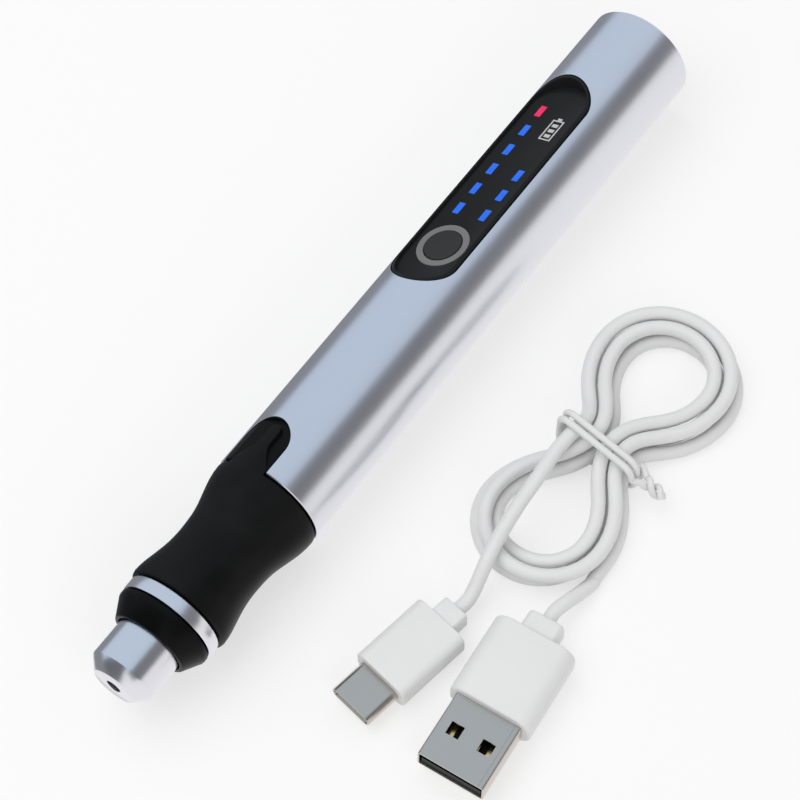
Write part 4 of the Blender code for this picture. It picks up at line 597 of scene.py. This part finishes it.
ring_grey = finish("ring_grey", grey(0.17), grey(0.20), (0.38, 0.46), scale=8000.0, depth=0.003,
                   specular=0.2)
button_black = finish("button_black", grey(0.026), grey(0.031), (0.34, 0.42), scale=8000.0,
                      depth=0.003, specular=0.16)
blue_light = finish("blue_light", (0.012, 0.10, 0.62), (0.02, 0.14, 0.74), (0.25, 0.35),
                    scale=6000.0, patch=500.0, depth=0.002, glow=0.35, specular=0.2)
red_light = finish("red_light", (0.60, 0.012, 0.08), (0.72, 0.025, 0.12), (0.25, 0.35),
                   scale=6000.0, patch=500.0, depth=0.002, glow=0.35, specular=0.2)
print_grey = finish("printed_mark", grey(0.50), grey(0.60), (0.45, 0.55), scale=9000.0,
                    depth=0.001)
cord_white = finish("cord_white", grey(0.75), grey(0.80), (0.40, 0.50), scale=3000.0,
                    patch=150.0, depth=0.006, specular=0.3)
plug_white = finish("plug_white", grey(0.76), grey(0.80), (0.42, 0.50), scale=6000.0,
                    patch=120.0, depth=0.004, specular=0.3)
plug_steel = finish("plug_steel", (0.56, 0.515, 0.465), (0.60, 0.555, 0.505), (0.30, 0.38), 1.0,
                    scale=5000.0, stretch=(1.0, 0.2, 1.0), depth=0.002)
steel = finish("turned_steel", (0.52, 0.52, 0.54), (0.60, 0.60, 0.61), (0.22, 0.34), 1.0,
               scale=6000.0, stretch=(1.0, 0.1, 0.1), depth=0.003)
brass = finish("turned_brass", (0.72, 0.56, 0.27), (0.80, 0.64, 0.34), (0.26, 0.38), 1.0,
               scale=6000.0, stretch=(1.0, 0.1, 0.1), depth=0.003)
winding = finish("copper_winding", (0.62, 0.27, 0.14), (0.75, 0.38, 0.20), (0.28, 0.40), 1.0,
                 scale=4500.0, stretch=(0.1, 1.0, 1.0), depth=0.02)
magnet_grey = finish("magnet_grey", (0.08, 0.08, 0.09), (0.12, 0.12, 0.13), (0.50, 0.65), 0.2,
                     depth=0.01)
board_green = finish("board_green", (0.01, 0.12, 0.05), (0.02, 0.18, 0.08), (0.30, 0.45),
                     scale=2500.0, depth=0.008)
cell_wrap = finish("cell_wrap", (0.05, 0.20, 0.45), (0.07, 0.25, 0.52), (0.22, 0.32),
                   scale=1500.0, depth=0.004)
gold = finish("contact_gold", (0.85, 0.62, 0.28), (0.90, 0.68, 0.34), (0.22, 0.32), 1.0,
              scale=7000.0, depth=0.001)

inner_finishes = {
    "steel": steel, "brass": brass, "winding": winding, "magnet": magnet_grey, "rubber": rubber,
    "black_plastic": black_plastic, "board_green": board_green, "cell_wrap": cell_wrap,
    "anodised": anodised, "nose_metal": nose_metal, "panel_black": panel_black,
    "ring_grey": ring_grey, "button_black": button_black, "blue_light": blue_light,
    "red_light": red_light, "lead_white": plug_white, "plug_metal": plug_steel,
}
for part in frame["record"]["subparts"]:
    node = frame["nodes"][part["node"]]
    node.data.materials.clear()
    node.data.materials.append(inner_finishes[part["material_slot"]])
cord.data.materials.append(cord_white)
tie.data.materials.append(cord_white)
print(len(bpy.data.materials), "materials")

# %% [markdown]
# ## The barrel
#
# The barrel is a drawn tube with a thin chamfer at its rear. The panel's slot and
# the notch behind the grip are milled straight down into it, so two prisms cut
# them out. The tube is made with the panel facing up, and then rolled. The notch
# is 1.5 mm wider towards the far side than in the solid, because the photograph
# shows no metal there.

# %% Turn the barrel and mill its openings
IN_TUBE, OVER_TUBE = 3.0, 12.0
NOTCH_SHIFT = 0.75

barrel = lathe("barrel_shell", [
    (40.25, 8.8), (40.25, 9.85), (40.4, 10.0), (60.0, 10.0), (100.0, 10.0), (152.95, 10.0),
    (153.3, 9.65), (153.3, 8.95), (153.15, 8.8), (40.25, 8.8),
], sides=160)
cut(barrel, oval_prism("slot_tool", 83.5, 135.8, 6.5, IN_TUBE, OVER_TUBE))
notch_tool = oval_prism("notch_tool", 30.0, 50.2, 4.15 + NOTCH_SHIFT, IN_TUBE, OVER_TUBE)
notch_tool.location.y = NOTCH_SHIFT * MM
settle(notch_tool)
cut(barrel, notch_tool)
shade(barrel, 30.0)
roll(barrel)
wear(barrel, "pen", "anodised", anodised, "barrel_tube")

# %% [markdown]
# ## The control panel
#
# One glossy insert fills the slot. Its rim follows the round of the barrel, and
# inside the rim a flat face lies about 2.6 mm below the top of the tube. Light
# bars and the button come up through it.

# %% Mould the panel insert
PANEL_FRONT, PANEL_REAR, PANEL_HALF_WIDTH, PANEL_RIM = 83.7, 135.6, 6.2, 0.5
PANEL_UNDERSIDE, PANEL_FACE = 6.45, 7.4
BUTTON_STATION = 94.1

panel = oval_prism("panel_insert", PANEL_FRONT, PANEL_REAR, PANEL_HALF_WIDTH, PANEL_UNDERSIDE,
                   OVER_TUBE)
crown(panel, radius=9.9)
cut(panel, oval_prism("pocket_tool", PANEL_FRONT + PANEL_RIM, PANEL_REAR - PANEL_RIM,
                      PANEL_HALF_WIDTH - PANEL_RIM, PANEL_FACE, OVER_TUBE))
ring_place = Vector((BUTTON_STATION * MM - HALF_LENGTH, 0.0, AXIS + 7.0 * MM))
cut(panel, round_bar("ring_hole", ring_place, radius=4.92, length=4.0, sides=96))
soften(panel, 0.06, 2)
roll(panel)
wear(panel, "pen", "panel_black", panel_black, "panel_window")

# %% [markdown]
# The light bars are clear blocks that stand a hair above the panel, in a long
# column of five blue ones and a red one, and a short column of three blue ones.
# Each is a cube drawn to its size with rounded edges, because the edge is what
# catches the light. The blue ones are joined: one light guide carries them.

# %% Set the light bars
BAR_SIZE, BAR_HEIGHT = (2.7, 1.35, 0.9), 7.0
FIRST_BAR, BAR_PITCH = 102.65, 5.08
LONG_COLUMN, SHORT_COLUMN = 2.8, -3.05


def light_bar(name, index, side):
    """One bar, counted from the button."""
    bar = panel_block(name, FIRST_BAR + BAR_PITCH * index, side, BAR_HEIGHT, BAR_SIZE)
    soften(bar, 0.12, 3)
    return bar


blue_bars = [light_bar("blue_bar", index, LONG_COLUMN) for index in range(5)]
blue_bars += [light_bar("blue_bar", index, SHORT_COLUMN) for index in range(3)]
blue = join("blue_light_bars", blue_bars)
roll(blue)
wear(blue, "pen", "blue_light", blue_light, "light_guide")
red = light_bar("red_light_bar", 5, LONG_COLUMN)
roll(red)
wear(red, "pen", "red_light", red_light, "red_light_guide")

# %% [markdown]
# The button is a dished disc in a plain grey ring. Both are turned about the
# direction that the panel faces, so that one short outline makes each. The button
# rides on a body of its own, because it is pressed.

# %% Turn the button and its ring
ring_piece = lathe("button_bezel", [
    (6.6, 3.6), (6.6, 4.84), (7.40, 4.84), (7.45, 4.79), (7.45, 3.65), (7.40, 3.6),
    (6.6, 3.6),
], upright_at=BUTTON_STATION)
roll(ring_piece)
wear(ring_piece, "pen", "ring_grey", ring_grey, "button_ring")
button = lathe("button_cap", [
    (5.65, 4.35), (6.05, 4.35), (6.05, 3.45), (7.44, 3.45), (7.54, 3.34), (7.52, 3.0),
    (7.47, 2.2), (7.44, 1.2), (7.43, 0.0),
], upright_at=BUTTON_STATION)
roll(button)
wear(button, "power_button", "button_black", button_black, "power_button")

# %% [markdown]
# Behind the short column stands a plain battery sign: an outline with its small
# pole and three charge strokes. The print is made as film of a few hundredths of a
# millimetre, which keeps its edges sharp at any distance and needs no image.

# %% Print the battery sign
FILM, LINE = 0.04, 0.28
SIGN_SIDE = -2.2
strokes = [(124.4, -3.3, 5.0, LINE), (124.4, -1.1, 5.0, LINE),
           (122.04, SIGN_SIDE, LINE, 1.92), (126.76, SIGN_SIDE, LINE, 1.92),
           (127.2, SIGN_SIDE, 0.5, 0.9)]
strokes += [(122.98 + 1.3 * index, SIGN_SIDE, 0.75, 1.2) for index in range(3)]
films = [panel_block("sign", station, side, PANEL_FACE, (length, width, FILM))
         for station, side, length, width in strokes]
sign_piece = join("battery_sign", films)
roll(sign_piece)
wear(sign_piece, "pen", "ring_grey", print_grey)

# %% [markdown]
# ## The grip, ring, collar and nose
#
# These are turned too. The grip is soft rubber over the housing. Its waist is a
# smooth line through measured stations, fuller towards the barrel than towards the
# nose, which an even curve would lose.

# %% Mould the grip
grip_line = [
    (16.1, 6.8), (16.1, 8.9), (16.25, 9.14), (16.8, 9.27), (17.8, 9.21), (18.8, 9.08),
    (19.8, 8.87), (20.8, 8.66), (21.8, 8.45), (22.9, 8.25), (23.9, 8.1), (24.9, 8.01),
    (25.9, 7.96), (26.9, 7.95), (27.9, 7.98), (28.9, 8.02), (29.9, 8.10), (30.8, 8.21),
    (31.6, 8.35), (32.5, 8.56), (33.4, 8.80), (34.2, 9.02), (35.5, 9.37), (36.7, 9.66),
    (38.0, 9.86), (39.3, 9.94), (39.7, 9.86), (39.9, 9.65), (39.9, 8.8), (36.9, 8.8),
    (36.9, 6.8), (16.1, 6.8),
]
grip = lathe("grip_cover", grip_line)
wear(grip, "pen", "rubber", rubber, "grip_sleeve")

# %% [markdown]
# In front of the grip sit a thin satin ring, the black collar and the silver nut
# that clamps the bit. A few stations make each, and the short steps at their edges
# are the chamfers of the real parts. The nut rides on a body of its own, because
# it turns.

# %% Turn the trim ring, the collar and the nose
trim = lathe("trim_band", [
    (13.3, 7.9), (13.3, 8.5), (13.38, 8.66), (13.55, 8.75), (15.55, 8.75), (15.72, 8.66),
    (15.8, 8.5), (15.8, 7.9), (13.3, 7.9),
])
wear(trim, "pen", "nose_metal", nose_metal, "trim_ring")
collar = lathe("collar_cover", [
    (8.9, 6.18), (8.9, 6.7), (9.0, 6.85), (11.8, 8.4), (12.1, 8.58), (12.45, 8.66),
    (13.0, 8.66), (13.0, 7.6), (15.4, 7.6), (15.4, 6.7), (12.2, 6.7), (12.2, 6.18),
    (8.9, 6.18),
])
wear(collar, "pen", "black_plastic", black_plastic, "nose_collar")
nose = lathe("nose_nut", [
    (0.08, 1.35), (0.0, 1.45), (0.0, 3.8), (0.1, 3.98), (2.1, 5.78), (2.3, 5.86),
    (2.6, 5.88), (11.6, 5.88), (11.6, 3.3), (3.0, 3.3), (3.0, 2.95), (1.3, 1.35),
    (0.08, 1.35),
])
wear(nose, "chuck_nut", "nose_metal", nose_metal, "chuck_nut")

# %% [markdown]
# The notch in the barrel shows the black inner housing. Its tongue is a low block
# with a rounded end, a little below the round of the tube. A round bar trims the
# prism to that curve, and bisecting it gives it a straight front.

# %% Cap the housing's tongue
tongue = oval_prism("housing_tongue", 30.0, 49.98, 3.93 + NOTCH_SHIFT, 6.0, 9.14)
tongue.location.y = NOTCH_SHIFT * MM
settle(tongue)
crown(tongue, radius=9.94)
pick(tongue)
bpy.ops.object.mode_set(mode="EDIT")
bisect(40.3, use_fill=True, clear_inner=True)
bpy.ops.object.mode_set(mode="OBJECT")
soften(tongue, 0.25, 3)
roll(tongue)
wear(tongue, "pen", "black_plastic", black_plastic)

# %% [markdown]
# The soft grip runs back over the tongue as a finger: broad where it leaves the
# grip, narrow at its end. A narrow prism gets twelve more rings by bisecting it,
# its front is drawn wide, and a round bar trims its top to the curve of the tube.

# %% Draw the grip's finger
FINGER_RINGS, FIRST_RING, RING_STEP = 12, 39.8, 0.5
SPREAD, SPREAD_END, SPREAD_LENGTH = 2.3, 45.3, 5.5

finger = oval_prism("grip_finger", 38.3, 48.9, 1.15, 8.6, 10.6, sides=64)
pick(finger)
bpy.ops.object.mode_set(mode="EDIT")
for index in range(FINGER_RINGS):
    bisect(FIRST_RING + index * RING_STEP)
bpy.ops.object.mode_set(mode="OBJECT")
for vertex in finger.data.vertices:
    station = (vertex.co.x + HALF_LENGTH) / MM
    vertex.co.y *= 1.0 + SPREAD * blend((SPREAD_END - station) / SPREAD_LENGTH)
crown(finger, radius=9.85)
soften(finger, 0.22, 3, degrees=30.0)
roll(finger)
wear(finger, "pen", "rubber", rubber)

# %% [markdown]
# ## The plugs
#
# Each plug is a steel shell in a soft white moulding with a small collar. They
# are modelled along X with the tip at the origin, where their sizes are plain to
# read, and then laid in their place. Faces and edges are picked by the way they
# point and not by number, so that a change of size still finds them.

# %% Define how a plug is laid on the table
SHEET = 0.3


def lay(piece, tip, heading, height):
    """Bring a plug's piece to its tip's place and turn it the way the tip points."""
    pick(piece)
    piece.location = (tip[0] * MM, tip[1] * MM, height * MM)
    piece.rotation_euler.z = heading + math.pi
    settle(piece)


def pick_faces(piece, wanted):
    """Enter edit mode with only the faces selected for which wanted(face) is true."""
    pick(piece)
    bpy.ops.object.mode_set(mode="EDIT")
    bpy.ops.mesh.select_mode(type="FACE")
    bpy.ops.mesh.select_all(action="DESELECT")
    bpy.ops.object.mode_set(mode="OBJECT")
    for face in piece.data.polygons:
        face.select = wanted(face)
    bpy.ops.object.mode_set(mode="EDIT")


def pick_edges(piece, wanted):
    """Enter edit mode with only the edges selected for which wanted(first, second) is true."""
    pick(piece)
    bpy.ops.object.mode_set(mode="EDIT")
    bpy.ops.mesh.select_mode(type="EDGE")
    bpy.ops.mesh.select_all(action="DESELECT")
    bpy.ops.object.mode_set(mode="OBJECT")
    corners = piece.data.vertices
    for edge in piece.data.edges:
        edge.select = wanted(corners[edge.vertices[0]].co, corners[edge.vertices[1]].co)
    bpy.ops.object.mode_set(mode="EDIT")


# %% [markdown]
# The moulding is a box whose long edges are rounded first, because they are the
# fullest, and whose rear face is inset and pushed out into the collar. Smoothing a
# coarse cube would round it as well, but it wouldn't keep its measures.

# %% Define the moulding of a plug
FACE_INSET = 0.09
FACE_LEFT = (0.95, 0.84)


def plug_moulding(name, front, body, collar, long_edge, end_edge):
    """Body and collar by length, width and height, and how far their edges are rounded."""
    length, width, height = body
    collar_length, collar_width, collar_height = collar
    piece = block(name, (front + length / 2, 0.0, 0.0), body)
    pick_edges(piece, lambda a, b: abs(a.x - b.x) > length * MM / 2)
    bpy.ops.mesh.bevel(offset=long_edge * MM, segments=8, affect="EDGES")
    bpy.ops.object.mode_set(mode="OBJECT")
    rear = (front + length) * MM
    pick_faces(piece, lambda face: face.normal.x > 0.9)
    bpy.ops.mesh.inset(thickness=min(width, height) * FACE_INSET * MM)
    size = (collar_width / (width * FACE_LEFT[0]), collar_height / (height * FACE_LEFT[1]))
    bpy.ops.transform.resize(value=(1.0, *size), center_override=(rear, 0.0, 0.0))
    push = (collar_length * MM, 0.0, 0.0)
    bpy.ops.mesh.extrude_region_move(TRANSFORM_OT_translate={"value": push})
    bpy.ops.mesh.select_all(action="SELECT")
    bpy.ops.mesh.normals_make_consistent(inside=False)
    bpy.ops.object.mode_set(mode="OBJECT")
    soften(piece, end_edge, 4, degrees=50.0)
    shade(piece, 60.0)
    return piece


# %% [markdown]
# The small plug's shell is steel drawn to a flat oval. A circle whose halves are
# moved apart keeps its round ends, and a modifier gives it its wall afterwards.

# %% Make the small plug
def oval_shell(name, half_width, half_height, length):
    """A flat oval tube along X from a circle pulled apart."""
    deselect()
    bpy.ops.mesh.primitive_circle_add(vertices=48, radius=half_height * MM, fill_type="NOTHING",
                                      rotation=(0.0, math.pi / 2, 0.0))
    piece = bpy.context.object
    piece.name = name
    settle(piece)
    spread = (half_width - half_height) * MM
    for vertex in piece.data.vertices:
        vertex.co.y += spread if vertex.co.y > 0.0 else -spread
    bpy.ops.object.mode_set(mode="EDIT")
    bpy.ops.mesh.select_mode(type="VERT")
    bpy.ops.mesh.select_all(action="SELECT")
    push = (length * MM, 0.0, 0.0)
    bpy.ops.mesh.extrude_region_move(TRANSFORM_OT_translate={"value": push})
    bpy.ops.mesh.select_all(action="SELECT")
    bpy.ops.mesh.normals_make_consistent(inside=False)
    bpy.ops.object.mode_set(mode="OBJECT")
    apply_modifier(piece, "SOLIDIFY", thickness=SHEET * MM, offset=-1.0)
    soften(piece, 0.08, 2)
    return piece


c_grip = plug_moulding("small_plug_body", 6.65, (14.0, 10.8, 5.4), (3.4, 5.4, 4.4),
                       long_edge=1.7, end_edge=0.45)
lay(c_grip, C_TIP, C_HEADING, C_HEIGHT)
wear(c_grip, "pen", "lead_white", plug_white, "usb_c_grip")
c_shell = oval_shell("small_plug_shell", 4.17, 1.28, 7.85)
lay(c_shell, C_TIP, C_HEADING, C_HEIGHT)
wear(c_shell, "pen", "plug_metal", plug_steel, "usb_c_shell")

# %% [markdown]
# The large plug has the same kind of moulding in a bigger size, so the same helper
# makes it.

# %% Mould the large plug
a_grip = plug_moulding("large_plug_body", 12.0, (15.0, 14.8, 7.4), (3.6, 7.0, 5.6),
                       long_edge=2.7, end_edge=0.5)
lay(a_grip, A_TIP, A_HEADING, A_HEIGHT)
wear(a_grip, "pen", "lead_white", plug_white, "usb_a_grip")

# %% [markdown]
# The large plug's shell is folded from sheet: a box without its ends, given the
# wall of the sheet, with a seam along one side and two square windows through it.

# %% Fold the large plug's shell
a_shell = block("large_plug_shell", (6.6, 0.0, 0.0), (13.2, 12.0, 4.5))
pick_faces(a_shell, lambda face: abs(face.normal.x) > 0.9)
bpy.ops.mesh.delete(type="ONLY_FACE")
bpy.ops.object.mode_set(mode="OBJECT")
soften(a_shell, 0.5, 4)
apply_modifier(a_shell, "SOLIDIFY", thickness=SHEET * MM, offset=-1.0)
for side in (-2.85, 2.85):
    cut(a_shell, block("window_tool", (6.2, side, 0.0), (2.3, 2.3, 6.0)))
cut(a_shell, block("seam_tool", (6.0, -4.95, 2.35), (13.0, 0.12, 0.4)))
shade(a_shell, 30.0)
lay(a_shell, A_TIP, A_HEADING, A_HEIGHT)
wear(a_shell, "pen", "plug_metal", plug_steel, "usb_a_shell")

# %% [markdown]
# Inside the shell, gilt pads lie on the white tongue. They are thin blocks that
# stand up a little, so that they catch the light when one looks into the shell.

# %% Lay the contact pads on its tongue
PAD_PITCH, PAD_SIZE = 2.3, (7.0, 1.0, 0.12)
pads = [block("contact_pads", (5.2, (index - 1.5) * PAD_PITCH, 0.16), PAD_SIZE)
        for index in range(4)]
pad_piece = join("contact_pads", pads)
soften(pad_piece, 0.03, 2)
lay(pad_piece, A_TIP, A_HEADING, A_HEIGHT)
wear(pad_piece, "pen", "plug_metal", gold)

# %% [markdown]

# %% [markdown]
# ## Floor and light
#
# The floor is plain and nearly white. The camera sees it a little washed out, as
# in a catalogue picture, so that a pale shadow is left, and what metal reflects of
# it is white. A bright floor alone would need so much light that the white lead
# would burn out.

# %% Lay the floor
FLOOR_SIZE, FLOOR_DROP, FLOOR_GLOW = 4.0, 0.05 * MM, 0.6


def mix_for_rays(tree, camera_share, plain, seen, target):
    """Show reflections and see-through pieces one shader, and the camera a share of it."""
    path = tree.nodes.new("ShaderNodeLightPath")
    share = tree.nodes.new("ShaderNodeMath")
    share.operation = "MULTIPLY"
    share.inputs[1].default_value = camera_share
    tree.links.new(path.outputs["Is Camera Ray"], share.inputs[0])
    factor = share.outputs[0]
    for kind in ("Is Glossy Ray", "Is Transmission Ray"):
        either = tree.nodes.new("ShaderNodeMath")
        either.operation = "MAXIMUM"
        tree.links.new(factor, either.inputs[0])
        tree.links.new(path.outputs[kind], either.inputs[1])
        factor = either.outputs[0]
    mix = tree.nodes.new("ShaderNodeMixShader")
    tree.links.new(factor, mix.inputs[0])
    tree.links.new(plain.outputs[0], mix.inputs[1])
    tree.links.new(seen.outputs[0], mix.inputs[2])
    tree.links.new(mix.outputs[0], target.inputs["Surface"])


deselect()
bpy.ops.mesh.primitive_plane_add(size=FLOOR_SIZE, location=(0.0, 0.0, -FLOOR_DROP))
floor = bpy.context.object
floor.name = "floor"
floor_white = finish("floor_white", grey(0.93), grey(0.935), (0.85, 0.9),
                     scale=800.0, patch=5.0, depth=0.002, specular=0.0)
tree = floor_white.node_tree
glow = tree.nodes.new("ShaderNodeEmission")
mix_for_rays(tree, FLOOR_GLOW, tree.nodes["Principled BSDF"], glow,
             tree.nodes["Material Output"])
floor.data.materials.append(floor_white)
print("floor of", FLOOR_SIZE, "m")

# %% [markdown]
# A broad lamp above and a weaker one from the side give soft light. Metal would
# mirror them as hard squares, so reflections don't see them.

# %% Hang the lamps
def lamp(name, place, size, power):
    """An area lamp that faces the pen and shows in no reflection."""
    deselect()
    bpy.ops.object.light_add(type="AREA", location=place)
    light = bpy.context.object
    light.name = name
    light.data.shape = "RECTANGLE"
    light.data.size, light.data.size_y = size
    light.data.energy = power
    light.visible_glossy = False
    light.rotation_euler = (-Vector(place)).to_track_quat("-Z", "Y").to_euler()
    print(name, "of", power, "W")


lamp("top_lamp", (-0.15, 0.35, 0.9), (1.2, 0.8), 5.0)
lamp("side_lamp", (-0.5, -0.9, 0.6), (0.8, 0.5), 2.0)

# %% [markdown]
# Metal looks like what stands round it. As in a studio, curved cards hang along
# the pen and only reflections see them: a pale blue one over the top, a dark one
# on the lead's side for the soft grey band right of the middle, a grey one lying
# on the table behind the pen for its far edge, and one before the nose for the
# grey of its chamfer.

# %% Hang the cards
CARD_RADIUS, CARD_LENGTH = 1.0, 3.0


def light_card(flag, colour):
    """Give a card an even glow that only reflections see."""
    material = bpy.data.materials.new(flag.name)
    material.use_nodes = True
    tree = material.node_tree
    glow = tree.nodes.new("ShaderNodeEmission")
    glow.inputs["Color"].default_value = (*colour, 1.0)
    tree.links.new(glow.outputs[0], tree.nodes["Material Output"].inputs["Surface"])
    flag.data.materials.append(material)
    flag.visible_camera = flag.visible_shadow = False
    flag.visible_diffuse = flag.visible_transmission = False
    print(flag.name, "has", len(flag.data.polygons), "faces")


def card(name, colour, first, last):
    """Part of a tube round the pen: angles run from +Y over the top to -Y."""
    deselect()
    bpy.ops.mesh.primitive_cylinder_add(
        vertices=120, radius=CARD_RADIUS, depth=CARD_LENGTH, end_fill_type="NOTHING",
        rotation=(0.0, math.pi / 2, 0.0))
    flag = bpy.context.object
    flag.name = name
    settle(flag)

    def outside(face):
        return not first < math.degrees(math.atan2(face.center.z, face.center.y)) < last

    pick_faces(flag, outside)
    bpy.ops.mesh.delete(type="FACE")
    bpy.ops.object.mode_set(mode="OBJECT")
    light_card(flag, colour)


def flat_card(name, colour, place, size, turn):
    """A plain sheet, turned about Y."""
    deselect()
    bpy.ops.mesh.primitive_plane_add(size=1.0, location=place,
                                     rotation=(0.0, math.radians(turn), 0.0))
    flag = bpy.context.object
    flag.name = name
    flag.scale = (*size, 1.0)
    settle(flag)
    light_card(flag, colour)


card("sky_card", (0.62, 0.73, 0.84), 0.0, 121.0)
card("band_card", (0.20, 0.205, 0.21), 121.0, 163.0)
flat_card("table_card", (0.27, 0.28, 0.30), (0.0, 0.514, 0.0006), (3.0, 1.0), 0.0)
flat_card("front_card", (0.15, 0.155, 0.16), (-0.8, 0.45, 0.5), (1.0, 1.1), 90.0)

# %% [markdown]
# The rest of the light comes evenly from all round, as in a white room, and
# reflections see that room in full white.

# %% Light the world
WORLD_LIGHT, WORLD_WHITE = 0.55, 1.0
world = bpy.data.worlds.new("studio")
bpy.context.scene.world = world
world.use_nodes = True
tree = world.node_tree
tree.nodes.clear()
soft_light, white = [tree.nodes.new("ShaderNodeBackground") for _ in range(2)]
for shader, strength in ((soft_light, WORLD_LIGHT), (white, WORLD_WHITE)):
    shader.inputs["Color"].default_value = (1.0, 1.0, 1.0, 1.0)
    shader.inputs["Strength"].default_value = strength
mix_for_rays(tree, 1.0, soft_light, white, tree.nodes.new("ShaderNodeOutputWorld"))
bpy.context.scene.view_settings.view_transform = "Standard"
print(world.name, "has", len(tree.nodes), "nodes")
